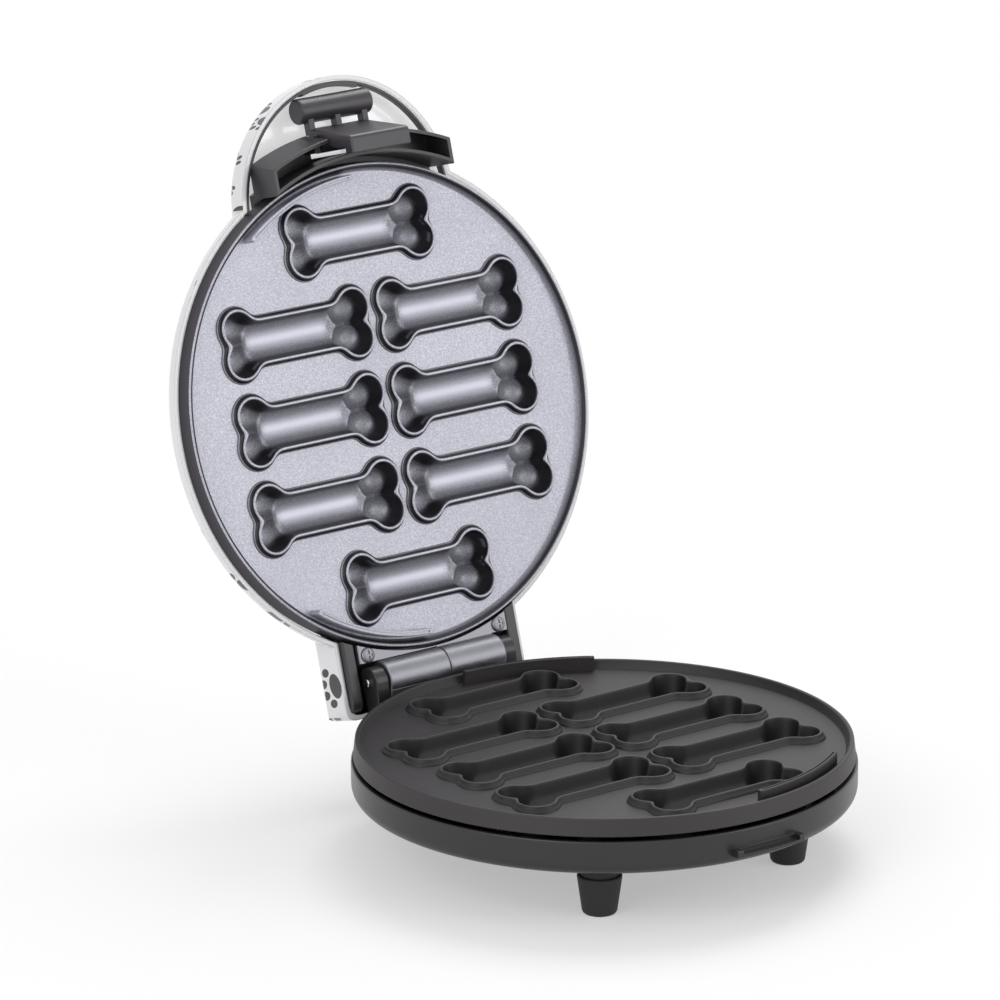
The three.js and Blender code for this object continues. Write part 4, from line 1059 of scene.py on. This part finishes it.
# %% The casting
row_pitch = 36.3
column_x = 39.3
well_places = [(0, -2 * row_pitch), (0, 2 * row_pitch)]
well_places += [(side * column_x, row * row_pitch) for row in (-1, 0, 1) for side in (-1, 1)]
rim_profile = [
    (97.6, -flat_depth), (99.2, 0), (100.9, 0), (101.8, -7.4), (99.2, -7.4), (99.2, -back_depth),
]
rim_softness = [1.2, 0.7, 0.6, 0.5, 0.3, 0]
face_ring = 96.6
back_ring = 98.6
rib_degrees = [(54, 89), (-89, -54)]
post_places = [(x, y) for x in (-60.0, 60.0) for y in (-66.0, 66.0)]
boss_radius = 4.5
boss_low = 7.4
boss_edge = 0.4
screw_hole = 1.9
screw_bite = 2.7


def drilled(low, high, places, radius=screw_hole, axis="z", sides=24):
    """The bars that cut round holes at these places."""
    return [rod(radius, low, high, place, axis, sides=sides) for place in places]


def holed(radius, ring, height):
    """The flat inside a circle, with a hole of this outline at every well."""
    return filled([circle(radius, plate_sides), *[ring + place for place in well_places]], height)


def cast_plate():
    """The whole casting, from parts that share their edge points."""
    parts, faces = [], []

    def add(points, *lists):
        count = sum(len(part) for part in parts)
        parts.append(points.reshape(-1, 3))
        faces.extend(face + count for face in lists)

    rings, around = bulge_surface.shape[:2]
    cap = np.arange((rings - 1) * around, rings * around)[None]
    for x, y in well_places:
        add(well_surface + [x, y, 0], quads(*well_surface.shape[:2]))
        add(bulge_surface + [x, y, 0], quads(rings, around)[:, ::-1], cap[:, ::-1])
    add(*holed(face_ring, well_surface[0, :, :2], -flat_depth))
    points, triangles = holed(back_ring, bulge_surface[0, :, :2], -back_depth)
    add(points, triangles[:, ::-1])
    rim = [(face_ring, -flat_depth), *soften(rim_profile, rim_softness, 5, closed=False),
           (back_ring, -back_depth)]
    add(revolved(rim, plate_sides), quads(len(rim), plate_sides)[:, ::-1])
    casting = solid(np.concatenate(parts), *faces)
    bosses = [rod(boss_radius, -boss_low, 1 - back_depth, place, edge=boss_edge)
              for place in post_places]
    casting = join(casting, *bosses, *[rib(*span) for span in rib_degrees])
    return cut(casting, *drilled(-boss_low - 1, screw_bite - boss_low, post_places))


casting = cast_plate()
print("the casting has", len(casting.data.polygons), "faces")

# %% Where shade and a highlight are painted on the coating
crest_offset = -0.55
well_shade = 1.3
collar_bands = [(-3.575, -3.05, 0.7), (-2.7, -1.1, 1.0)]  # from and to which height, and how dark the painted shade is
# where along the shank the painted highlight ends and how far it fades, and how steep it may be
trough_half, trough_end = 21.0, 4.0
trough_level = 0.3
rim_slope = (97.1, 100.1)
rim_slope_foot = -3.5
rim_side_radius, rim_side_top = 100.75, -0.25
rim_side_shares = {"lower": 0.6, "upper": 1.0}


def shade_attributes(made, plate):
    """Shares of painted shade and painted highlight on the points of a casting. Inside a well the
    painted shade is k (1 - |n.z|), with n the normal, and trough marks the level part of the shank
    for a painted highlight. Outside it the painted shade marks the foot and the upper wall of each
    collar and the slope inside the rim, and rim_side marks the rim's outer wall."""
    points = read(made.data.vertices, "co", 3)
    steep = 1 - np.abs(read(made.data.vertices, "normal", 3)[:, 2])
    radius, height = np.hypot(points[:, 0], points[:, 1]), points[:, 2]
    # the slope inside the rim is painted dark as shade
    on_slope = (radius > rim_slope[0]) & (radius < rim_slope[1]) & (height > rim_slope_foot)
    shade = on_slope.astype(float)
    trough = np.zeros(len(points))
    for place in well_places:
        near = np.flatnonzero(np.hypot(*(points[:, :2] - place).T) < bone_length / 2 + 4)
        within = inside_loop(points[near, :2] - place, bone_ring(crest_offset))
        in_well, collar = near[within], near[~within]
        # inside a well the steep faces are painted dark as shade
        shade[in_well] = np.clip(well_shade * steep[in_well], 0, 1)
        along = np.abs(points[in_well, 0] - place[0])
        # the level floor of the shank is marked for a painted highlight
        ending = ease(along, trough_half - trough_end, trough_half)
        trough[in_well] = (1 - ease(steep[in_well], 0, trough_level)) * (1 - ending)
        # the foot and the upper wall of each collar are painted dark as shade
        for low, high, share in collar_bands:
            in_band = (height[collar] > low) & (height[collar] < high)
            shade[collar] = np.where(in_band, share, shade[collar])
    rim_side = (radius > rim_side_radius) & (height < rim_side_top)
    keep(made, "POINT", shade=shade, trough=trough, rim_side=rim_side * rim_side_shares[plate])


upper_casting = casting.copy()
upper_casting.data = casting.data.copy()
scene.collection.objects.link(upper_casting)
shade_attributes(casting, "lower")
shade_attributes(upper_casting, "upper")
seat(casting, "lower_casting", "base", lower_coating, ["lower_plate"])
seat(upper_casting, "upper_casting", "lid", upper_coating, ["upper_plate"],
     over=True)
print("both plates are in place")

# %% [markdown]
# The bottom housing is a shallow bowl. Its side is upright with a thin top edge, and its underside
# slopes in to a flat floor. Outside it carries the ledge for the latch in front, the pad and the
# two ears of the hinge behind, and inside it has posts for the plate and for the feet. On the real
# mould these are one piece of plastic, so they are joined into one mesh, not laid against it.

# %% The bowl and what stands on it
bowl_low, bowl_floor_radius = 27.4, 82.0
skirt_low, skirt_radius = 23.0, 100.2
bowl_inner, bowl_outer, bowl_top = 100.4, 102.6, -9.1
housing_profile = [
    (0, -bowl_low), (bowl_floor_radius, -bowl_low), (bowl_inner, -skirt_low), (bowl_outer, -20),
    (bowl_outer, bowl_top), (bowl_inner, bowl_top), (bowl_inner, -20.4), (98, -20.8),
    (bowl_floor_radius, -25.2), (0, -25.2),
]
housing_softness = [0, 6, 2.4, 2.0, 0.7, 0.6, 1, 1, 4, 0]
post_bite = 1.1  # how far a post reaches into the wall under it
ledge_low, ledge_high, ledge_floor = -19.2, -16.2, -17.8
ledge_half, ledge_stop, ledge_corner = 17, 14.4, 0.8
ledge_root, ledge_groove, ledge_radius = 101.5, 102.8, 107
ledge_room = (-112, -20, -16)  # in front of the ledge, under it and over it
pad_half, pad_front, pad_back, pad_low = 37, 93.8, 103, -23
pad_edge, pad_corner = 0.5, 1.2
ear_inner, ear_outer = 30.3, 36.5
ear_root, ear_foot, ear_back = 96, 101.5, 110.2
ear_low, ear_heel, ear_neck = -21, -17.2, -12.6
ear_radius, ear_steps = 6.5, 28
under_bowl, under_base = -28, -30  # where cutters start


def underside_at(radius):
    """How deep the outside of the bowl is at this distance from its middle: level, then rising."""
    share = max(0, (radius - bowl_floor_radius) / (skirt_radius - bowl_floor_radius))
    return bowl_low - share * (bowl_low - skirt_low)


def ledge():
    """A lip for the hook of the latch, thinner between its two end stops."""
    front, under, over = ledge_room
    lip = hoop(ledge_root, ledge_radius, ledge_low, ledge_high, 0.5)
    lip = common(lip, box(-ledge_half, ledge_half, front, 0, under, over, corner=ledge_corner))
    return cut(lip, box(-ledge_stop, ledge_stop, front, -ledge_groove, ledge_floor, over + 1))


def hinge_ear(side):
    """The side view of an ear, as a plate: a foot on the bowl and a round end about the pin."""
    view = np.concatenate([
        [(ear_root, ear_low), (pad_back, ear_low), (ear_back, ear_heel), (ear_back, ear_neck)],
        arc((hinge_back, hinge_rise), ear_radius, -60, 180, ear_steps),
        [(pad_back, bowl_top), (ear_root, bowl_top)],
    ])
    softness = [0, 1, 1, 1] + [0] * (ear_steps + 1) + [1, 0]
    low, high = sorted([side * ear_inner, side * ear_outer])
    ear = block(soften(view, softness), low, high, edge=0.5, axis="x")
    return cut(ear, drum(ear_foot, under_bowl, 2))


def hinge_pad():
    """A thicker stretch of the side, from the inside of the bowl to the back of the leaf."""
    pad = box(-pad_half, pad_half, pad_front, pad_back, pad_low, bowl_top, pad_edge, pad_corner)
    return cut(pad, drum(bowl_inner, under_bowl, 1))


print("the underside is", underside_at(0), "mm below the plates, and it rises to", skirt_low)

# %% Bottom housing
foot_places = [(-48.5, -58), (48.5, -58), (-40, 86), (40, 86)]
foot_neck = 7.7
boss_root = -26.3
foot_boss_radius, foot_boss_top = 3.7, -20.7
pan_ring, pan_pad_radius, pan_pad_top = 64, 3, -23.4
pan_places = circle(pan_ring, 3)[:, ::-1]
hinge_line = (hinge_back, hinge_rise)
pin_hole = 2.2
head_hole, head_seat = 3.5, -21.3
foot_hole_top = -19.7
leaf_screw_places = [(x, -15.5) for x in (-22, -7)]
gland_hole_radius, gland_degrees, gland_z = 4.9, 52, -14.75
side_span = (97.7, 104)  # through the side of the bowl and its pad


def bottom_housing():
    """Everything that stands on the bowl is joined to it, and then all holes are cut."""
    bowl = turned(soften(housing_profile, housing_softness, 5, closed=False))
    posts = [rod(boss_radius, post_bite - underside_at(math.hypot(x, y)), -boss_low - 0.3, (x, y))
             for x, y in post_places]
    bosses = [rod(foot_boss_radius, boss_root, foot_boss_top, place) for place in foot_places]
    feet = [
        rod(foot_neck, -bowl_low, post_bite - underside_at(math.hypot(*place) + foot_neck), place,
            edge=0.3)
        for place in foot_places
    ]
    pans = [rod(pan_pad_radius, boss_root, pan_pad_top, place) for place in pan_places]
    gland_hole = rod(gland_hole_radius, 99, side_span[1], (0, gland_z), axis="x")
    holes = [
        rotated(gland_hole, gland_degrees, "Z"),
        rod(pin_hole, -38, 38, hinge_line, axis="x"),
        *drilled(under_base, -5, post_places),
        *drilled(under_base, head_seat, post_places, head_hole, sides=32),
        *drilled(under_base, foot_hole_top, foot_places),
        *drilled(*side_span, leaf_screw_places, axis="y"),
    ]
    ears = [hinge_ear(-1), hinge_ear(1)]
    return cut(join(bowl, ledge(), *posts, *feet, *bosses, *pans, hinge_pad(), *ears), *holes)


seat(bottom_housing(), "base_bowl", "base", housing_black, ["bottom_housing"])
print("housing", seated["base_bowl"], "faces")

# %% Feet
foot_low, foot_shoulder, foot_top = -48, -31.6, -27.7
foot_profile = [
    (0, foot_low), (6.9, foot_low), (9.1, -32.2), (8.6, foot_shoulder), (foot_neck, foot_shoulder),
    (foot_neck, foot_top), (0, foot_top),
]
foot_softness = [0, 1.8, 0.5, 0.3, 0.2, 0.2, 0]
foot_screw_seat = -34.1
foot_names = ["front_left", "front_right", "rear_left", "rear_right"]
for name, (x, y) in zip(foot_names, foot_places):
    stub = turned(soften(foot_profile, foot_softness, 5, closed=False), 96)
    stub = shifted(cut(stub, *drilled(foot_screw_seat, -26, [(0, 0)])), x, y)
    seat(stub, f"rubber_foot_{name}", "base", foot_rubber, [f"foot_{name}"])
print("four feet")

# %% [markdown]
# Screws. A cross-head screw could be a plain pin here, since only two of them show, but the piece
# is kept and seen by itself too. It is a turned profile with a shallow dome for a head and a
# threaded shank, cut by a cross. It is drawn on the z axis with its head below its seat, as the
# screws of the base are, and then turned to where it goes.

# %% Cross-head screw
head_radius, head_height = 3.2, 1.7
head_lip, head_bevel = 0.15, 0.1
shank_radius = 1.6
tip_taper, tip_length = 0.4, 0.3
thread_pitch, thread_start, thread_cut = 0.8, 0.6, 0.3
slot_long, slot_wide = 0.62, 0.12  # half sizes as shares of the head's radius
slot_floor = -0.35
plate_screw_seat, plate_screw_length = -21.6, 16.6
foot_fixing_seat, foot_fixing_length = -20.4, 12.7
leaf_fixing_seat, leaf_fixing_length = 105.6, 5


def cross_screw(length, height):
    """Seat at z = 0, head down to -height, shank up to length. The thread is a zigzag of the
    shank's radius, one tooth for each pitch, and the head is (r sin a, -h cos(a)^0.7)."""
    low = thread_start + thread_pitch * np.arange(int((length - 1) / thread_pitch))
    crests, roots = np.full(len(low), shank_radius), np.full(len(low), shank_radius - thread_cut)
    thread = np.stack([
        np.column_stack([crests, low]), np.column_stack([roots, low + thread_pitch / 2]),
    ], 1).reshape(-1, 2)
    slope = np.linspace(0, math.pi / 2, 7)[:-1]
    head = np.column_stack([head_radius * np.sin(slope), -height * np.cos(slope) ** 0.7])
    profile = np.concatenate([
        head, [(head_radius, -head_lip), (head_radius - head_bevel, 0), (shank_radius, 0)],
        thread, [(shank_radius - tip_taper, length - tip_length), (0, length)],
    ])
    long, wide = slot_long * head_radius, slot_wide * head_radius
    slots = [box(-x, x, -y, y, -height - 1, slot_floor)
             for x, y in ((long, wide), (wide, long))]
    return cut(turned(profile, 40), *slots)


def fasten(name, node, place, length, degrees=0, height=head_height, body="base",
           finish=bright_steel, over=False):
    """Draws a screw, turns it about the x axis, and sets the seat of its head at a place."""
    screw = rotated(cross_screw(length, height), degrees, "X")
    seat(shifted(screw, *place), name, body, finish, [node], over)


for index, place in enumerate(post_places, 1):
    fasten(f"plate_screw_low_{index}", f"lower_plate_screw_{index}", (*place, plate_screw_seat),
           plate_screw_length)
for index, place in enumerate(foot_places, 1):
    fasten(f"foot_fixing_{index}", f"foot_screw_{index}", (*place, foot_fixing_seat),
           foot_fixing_length, 180)
for index, (x, z) in enumerate(leaf_screw_places, 1):
    fasten(f"leaf_fixing_{index}", f"base_hinge_screw_{index}", (x, leaf_fixing_seat, z),
           leaf_fixing_length, 90)
print("screws of the base")

# %% [markdown]
# The hinge. Two rolled barrels share one pin. The left one belongs to a leaf that is screwed to
# the back of the base, and the right one to a thick strap that follows the rim of the upper plate
# and is screwed into the lid. The barrels' ends are lightly rounded where they were sheared. Bent
# sheet would need a profile of its own for every bend; a round bar joined to a flat block has the
# same outside.

# %% Hinge
barrel_radius = 8.0
barrel_half = 30.0
barrel_split = 1.2
barrel_gap = 0.3
pin_radius = 1.9
pin_half = 37.6
leaf_front, leaf_back = 103.3, 105.3
leaf_low, leaf_high = -20, -1.5
strap_half = 38.5
strap_low, strap_high = 1.2, 7.7
strap_span = (0, 9)  # through the strap
strap_front, strap_back = 93, 105.7
strap_clear_radius = 102.4
strap_edge, strap_corner = 0.4, 1.2
strap_screw_places = [(x, 99.8) for x in (-34.0, 34.0)]
strap_screw_seat, strap_screw_length, strap_screw_height = 0.9, 17.6, 0.9


def barrel(low, high):
    """A rolled end of a leaf, about the line of the hinge."""
    return rod(barrel_radius, low, high, hinge_line, axis="x", edge=0.6, sides=96)


def pin_way():
    """The hole for the pin, longer than both barrels."""
    return rod(pin_hole, -barrel_half - 1, barrel_half + 1, hinge_line, axis="x")


base_leaf = join(
    barrel(-barrel_half, barrel_split - barrel_gap),
    box(-barrel_half, barrel_split - barrel_gap, leaf_front, leaf_back, leaf_low, leaf_high,
        corner=0.3),
)
leaf_holes = drilled(leaf_front - 1, leaf_back + 1, leaf_screw_places, axis="y")
base_leaf = cut(base_leaf, pin_way(), *leaf_holes)
seat(base_leaf, "base_leaf", "base", hinge_zinc, ["base_hinge_leaf"])

strap = box(-strap_half, strap_half, strap_front, strap_back, strap_low, strap_high,
            strap_edge, strap_corner)
barrel_room = [
    rod(barrel_radius + barrel_gap, low, high, hinge_line, axis="x", sides=96)
    for low, high in ((-strap_half - 1, barrel_split), (barrel_half, strap_half + 1))
]
strap = cut(strap, drum(strap_clear_radius, *strap_span), *barrel_room)
lid_leaf = join(strap, barrel(barrel_split, barrel_half))
lid_leaf = cut(lid_leaf, pin_way(), *drilled(*strap_span, strap_screw_places))
seat(lid_leaf, "lid_leaf", "lid", hinge_zinc, ["lid_hinge_leaf"])

hinge_rod = rod(pin_radius, -pin_half, pin_half, hinge_line, axis="x", edge=0.5)
seat(hinge_rod, "hinge_rod", "base", bright_steel, ["hinge_pin"])
for word, place in zip(("left", "right"), strap_screw_places):
    fasten(f"strap_screw_{word}", f"lid_hinge_screw_{word}", (*place, strap_screw_seat),
           strap_screw_length, height=strap_screw_height, body="lid", finish=hinge_zinc)
print("hinge, pin and strap screws")

# %% [markdown]
# The lid's shell is one glossy moulding with a constant wall: a low dome, a rounded bay at the
# front that covers the latch, and a squarer bay at the back that covers the hinge. Solidify would
# give the wall, but it folds where the bays meet the dome. So outside and inside are each joined
# from three shapes, and the inside is cut out of the outside.

# %% The dome and its bays
shell_radius = 104.99
shell_wall = 2.0
shell_edge = 5.0
shell_spring = 7.0
shell_crown = 26.8
front_bay_radius = 53.69
front_bay_y = 84.8
front_bay_rise = 18.28
front_bay_round = 7.0
rear_bay_half = 47.0
rear_bay_root, rear_bay_back = 60, 125.5
rear_bay_corner = 5
rear_bay_rise = 22.0
rear_bay_round = 5.0


def dome(inward, edge):
    """A quarter ellipse over a short upright side: r = R cos a, z = spring + H sin a."""
    radius = shell_radius - inward
    slope = np.radians(np.linspace(0, 90, 49))
    height = shell_spring + (shell_crown - inward) * np.sin(slope)
    profile = np.column_stack([radius * np.cos(slope), height])
    profile[-1, 0] = 0
    return turned(np.concatenate([[(0, edge), (radius, edge)], profile]))


def shoulder(right, top, bend, start, steps):
    """A round corner of this bend inside the lines x = right or -right and z = top."""
    side = 1 if start == 0 else -1
    return arc((side * (right - bend), top - bend), bend, start, start + 90, steps)


def front_bay(inward, edge):
    """A low drum with a round top edge, in front of the dome."""
    radius, rise = front_bay_radius - inward, front_bay_rise - inward
    corner = shoulder(radius, rise, front_bay_round - inward, 0, 14)
    bay = turned(np.concatenate([[(0, edge), (radius, edge)], corner, [(0, rise)]]))
    return shifted(bay, y=-front_bay_y)


def rear_bay(inward, edge):
    """Three blocks in common: the bay as seen from the side, from behind and from above."""
    half, back = rear_bay_half - inward, rear_bay_back - inward
    rise, bend = rear_bay_rise - inward, rear_bay_round - inward
    side_view = np.concatenate([
        [(rear_bay_root, edge), (back, edge)],
        shoulder(back, rise, bend, 0, 10),
        [(rear_bay_root, rise)],
    ])
    rear_view = np.concatenate([
        [(-half, edge - 1), (half, edge - 1)],
        shoulder(half, rise, bend, 0, 10), shoulder(half, rise, bend, 90, 10),
    ])
    front = rear_bay_root - 20
    top_view = [(-half, front), (half, front), (half, back), (-half, back)]
    softness = [0, 0, rear_bay_corner, rear_bay_corner]
    return common(
        block(side_view, -half - 1, half + 1, axis="x"),
        block(rear_view, rear_bay_root - 10, back + 2, axis="y"),
        block(soften(top_view, softness, 8), edge - 2, rise + 2),
    )


def lid_body(inward, edge):
    """The lid as one full shape, drawn in by inward and cut off level at edge."""
    return join(dome(inward, edge), front_bay(inward, edge), rear_bay(inward, edge))


print("the lid is a dome and two bays")

# %% Lid shell
lid_boss_radius, lid_boss_low = 4, 10.8
lid_hole = (10, 19.5)
lid_pad_low = 23.7
above_lid = 54
shell_top = 34.0
bay_map_rise = 150  # where the walls of the bays lie in the flat map
side_print = (292.9, 82)  # and where the sides of the rear bay lie in it
lining_from = 88.0  # the inside of the shell is black from here back


def lid_shell():
    """The body less the same body drawn in by the wall, with the studs that the screws take."""
    wall = cut(lid_body(0, shell_edge), lid_body(shell_wall, shell_edge - 1))
    bosses = [rod(lid_boss_radius, lid_boss_low, above_lid, place) for place in strap_screw_places]
    pads = [rod(pan_pad_radius, lid_pad_low, above_lid, place) for place in pan_places * [-1, 1]]
    studs = common(join(*bosses, *pads), lid_body(0, shell_edge))
    return cut(join(wall, studs), *drilled(*lid_hole, strap_screw_places))


def unrolled(points, normals, middles):
    """The flat map of the shell, in millimetres, for the corners of its faces and the normals and
    middles of those faces. The dome is (x, y) / r times r + (top - z). The upright walls of the
    bays are unrolled along their own feet: (y, z) at the sides of the rear bay, and elsewhere
    (radius times angle, z)."""
    radius = np.maximum(np.hypot(points[:, 0], points[:, 1]), 1e-6)
    reach = radius + (shell_top - points[:, 2])
    flat = points[:, :2] * (reach / radius)[:, None]
    outlying = np.hypot(middles[:, 0], middles[:, 1]) > shell_radius + 0.1
    wall = (np.abs(normals[:, 2]) < 0.5) & outlying
    side = wall & (middles[:, 1] > rear_bay_root) & (np.abs(normals[:, 0]) > 0.9)
    around = radius * np.arctan2(points[:, 0], points[:, 1])
    flat[wall] = np.column_stack([around, points[:, 2] + bay_map_rise])[wall]
    flat[side] = points[side, 1:] + side_print
    return flat


shell = lid_shell()
faces = shell.data.polygons
normals, middles = read(faces, "normal", 3), read(faces, "center", 3)
sizes = read(faces, "loop_total", kind=int)
corners = read(shell.data.loops, "vertex_index", kind=int)
flat_map = unrolled(
    read(shell.data.vertices, "co", 3)[corners],
    np.repeat(normals, sizes, axis=0), np.repeat(middles, sizes, axis=0),
)
layer = shell.data.uv_layers.new(name="unrolled")
layer.data.foreach_set("uv", flat_map.ravel())

# away from a point low in the lid, with the height counting more because the lid is flat
outward = middles * [0.4, 0.4, 1] - [0, 0, shell_edge + 1]
edge_faces = middles[:, 2] < shell_edge + 0.01
outside = ((normals * outward).sum(1) > 0) & ~edge_faces
# the inside faces from lining_from back are coloured black
lining = ~outside & ~edge_faces & (middles[:, 1] > lining_from)
# these inside faces take the shell's painted glow
inside = ~(outside | edge_faces | lining)
keep(shell, "FACE", outside=outside, inside=inside, lining=lining)
seat(shell, "white_shell", "lid", lid_white, ["lid_shell"])
print("shell", seated["white_shell"], "faces")

# %% [markdown]
# The lid's frame holds everything together: a carrier ring behind the plate, the nose block that
# the latch turns in, a thin lip that lines the edge of the front bay, and a cheek on each side of
# the hinge. It is one moulding, so its parts overlap and are joined, each without what must stay
# free for the plate.

# %% The nose block and the lip
nose_inner, nose_outer, nose_flare = 104.0, 114.0, 2.8
nose_low, nose_high = -10.0, 7.0
nose_half = 45.4
nose_wall = 1.6
nose_roof = 2.0
lug_inner, lug_outer, lug_half = 15.6, 18.4, 3.7
lug_low, lug_high = -3, 6
slot_half, slot_front, slot_back = 15.3, -122.4, -105.9
latch_line = (-111.6, 1.0)
latch_half = 15.0
latch_pin_radius = 1.5
latch_pin_hole = latch_pin_radius + 0.3
lip_gap, lip_width, lip_pad_width = 0.3, 1.3, 2.2
lip_low, lip_high = 5.3, 8.7
lip_pad_half = 14
lip_span, lip_room = 110, 18  # farther out and higher than the lip
frame_outer = 100.8


def nose_sector(inner, outer, half, low, high, softness=0.0):
    """A stretch of a ring whose outer wall leans out as it rises, between two upright planes."""
    profile = [(inner, low), (outer, low), (outer + nose_flare, high), (inner, high)]
    sweep = turned(soften(profile, softness), 360, closed=True)
    return common(sweep, box(-half, half, -2 * outer, 0, low - 1, high + 1))


def nose_block():
    """A hollow sector, open below, with two lugs for the pin and a slot for the latch."""
    outside = nose_sector(nose_inner, nose_outer, nose_half, nose_low, nose_high, 0.5)
    pocket = nose_sector(nose_inner + nose_wall, nose_outer - nose_wall, nose_half - nose_wall,
                         nose_low - 1, nose_high - nose_roof)
    middle = latch_line[0]
    lugs = [box(left, right, middle - lug_half, middle + lug_half, lug_low, lug_high)
            for left, right in ((-lug_outer, -lug_inner), (lug_inner, lug_outer))]
    slot = box(-slot_half, slot_half, slot_front, slot_back, nose_low - 1, nose_high + 1)
    reach = lug_outer + 0.3
    return cut(join(cut(outside, pocket), *lugs), slot,
               rod(latch_pin_hole, -reach, reach, latch_line, axis="x"))


def bay_lip():
    """The lip along the edge of the front bay, wider behind the grip. It ends where its circle
    meets the carrier ring: y = (R^2 - r^2 + d^2) / 2 d in front of the plate's centre."""
    outer = front_bay_radius - shell_wall - lip_gap
    lip = hoop(outer - lip_width, outer, lip_low, lip_high, 0.35, 300)
    pad = common(hoop(outer - lip_pad_width, outer, lip_low, lip_high, sides=300),
                 box(-lip_pad_half, lip_pad_half, -lip_span, 0, 0, lip_room, corner=1))
    rings_apart = frame_outer ** 2 - (outer - lip_width) ** 2
    joining = (rings_apart + front_bay_y ** 2) / (2 * front_bay_y)
    forward = box(-lip_span, lip_span, -lip_span, front_bay_y - joining, 0, lip_room)
    return shifted(common(join(lip, pad), forward), y=-front_bay_y)


print("the latch turns about y, z =", latch_line)

# %% Lid frame
frame_low, frame_high = 8.0, 10.5
frame_inner = 95.0
room_radius, room_low = 102.4, -12
nose_reach, frame_room = 230, 12  # farther forward and higher than the frame
web_inner, web_outer = 104, 105.6
tab_radius = 6
bridge_half, bridge_back = 40.8, 106.0
cheek_inner, cheek_outer = 39.2, 44.7
cheek_front, cheek_low, cheek_high = 88, 2.5, 12.5
cheek_round = arc((118, 7.5), 5, -90, 90, 16)


def plate_room():
    """What the frame leaves free for the upper plate."""
    return drum(room_radius, room_low, frame_low)


def hinge_cheek(side):
    """A plate beside the hinge, round at the back."""
    view = np.concatenate([[(cheek_front, cheek_low)], cheek_round, [(cheek_front, cheek_high)]])
    low, high = sorted([side * cheek_inner, side * cheek_outer])
    return block(view, low, high, edge=0.8, axis="x")


def nose_stretch(inner, low):
    """The stretch of a flat ring that runs along the nose block."""
    ring = hoop(inner, web_outer, low, frame_high, sides=360)
    return common(ring, box(-nose_half, nose_half, -nose_reach, 0, low - 1, frame_room))


def lid_frame():
    """Ring, tabs, bridge, cheeks, nose and lip are joined, and then all holes are cut."""
    carrier = hoop(frame_inner, frame_outer, frame_low, frame_high)
    tabs = [rod(tab_radius, frame_low, frame_high, place) for place in post_places]
    bridge = box(-bridge_half, bridge_half, frame_inner, bridge_back, frame_low, frame_high)
    cheeks = cut(join(hinge_cheek(-1), hinge_cheek(1)), plate_room())
    nose_bridge = cut(nose_stretch(frame_inner, frame_low),
                      box(-nose_half, nose_half, -nose_reach, -web_outer, 0, frame_room))
    nose_web = cut(nose_stretch(web_inner, 0), plate_room())
    lip = cut(bay_lip(), plate_room())
    whole = join(carrier, *tabs, bridge, cheeks, nose_bridge, nose_web, nose_block(), lip)
    return cut(whole, *drilled(frame_low - 1, frame_room, [*post_places, *strap_screw_places]))


seat(lid_frame(), "black_frame", "lid", frame_black, ["lid_frame"])
print("frame", seated["black_frame"], "faces")

# %% [markdown]
# The latch is a broad lever that turns on a pin in the nose block. Its arm runs down over the
# plates to a hook, and three short legs carry a round grip. Squeezing the grip lifts the hook off
# the ledge. The arm has the same section all along, so one side view carried across makes it.

# %% Latch
grip_line = (-126.0, 6.3)
grip_radius = 5.4
grip_half = 18.2
hook_low, hook_top = -25, -19.5
hub_radius, hub_steps = 4, 12
leg_width, leg_low, leg_high, leg_corner = 2.6, 2.4, 6.4, 0.2
latch_pin_half = 18.4
upper_screw_seat, upper_screw_length = -10.5, 5.5


def latch_lever():
    """The side view of the arm carried across, with the grip and its three legs."""
    view = np.concatenate([
        [(-112.8, hook_low), (-105.4, hook_low), (-105.4, hook_top), (-108.4, hook_top),
         (-108.4, -13.2), (-110.6, -8)],
        arc(latch_line, hub_radius, -60, 90, hub_steps),
        [(-118.4, 5.2)],
    ])
    softness = [1.8, 0.8, 0.5, 0.5, 2, 2] + [0] * (hub_steps + 1) + [1.2]
    arm = block(soften(view, softness, 5), -latch_half, latch_half, edge=0.8, steps=4, axis="x")
    grip = rod(grip_radius, -grip_half, grip_half, grip_line, axis="x", edge=1.0, sides=96)
    legs = [
        box(x, x + leg_width, grip_line[0], latch_line[0] - hub_radius, leg_low, leg_high,
            corner=leg_corner)
        for x in (-latch_half, -leg_width / 2, latch_half - leg_width)
    ]
    reach = latch_half + 1
    return cut(join(arm, grip, *legs), rod(latch_pin_hole, -reach, reach, latch_line, axis="x"))


seat(latch_lever(), "latch_arm", "latch", latch_black, ["latch_lever"])
latch_rod = rod(latch_pin_radius, -latch_pin_half, latch_pin_half, latch_line, axis="x", edge=0.4)
seat(latch_rod, "latch_rod", "lid", bright_steel, ["latch_pin"])
for index, place in enumerate(post_places, 1):
    fasten(f"plate_screw_high_{index}", f"upper_plate_screw_{index}", (*place, upper_screw_seat),
           upper_screw_length, body="lid", over=True)
print("latch and its pin")

# %% [markdown]
# Inside. Heaters, pans, controls and leads are closed in for good, so drawing them again would
# show nothing. The construction model's own solids serve, and only take their real finishes.

# %% Inner pieces
inner_finishes = {
    "lower_heater": heater_sheath, "upper_heater": heater_sheath,
    "lower_reflector": rolled_sheet, "upper_reflector": rolled_sheet,
    "thermostat": control_body, "thermal_fuse": bright_steel, "cord_gland": gland_rubber,
}
for name, node in frame["nodes"].items():
    if "lead" in name or name in inner_finishes:
        node.data.materials.clear()
        node.data.materials.append(inner_finishes.get(name, lead_sleeve).material)
print("inner pieces finished")
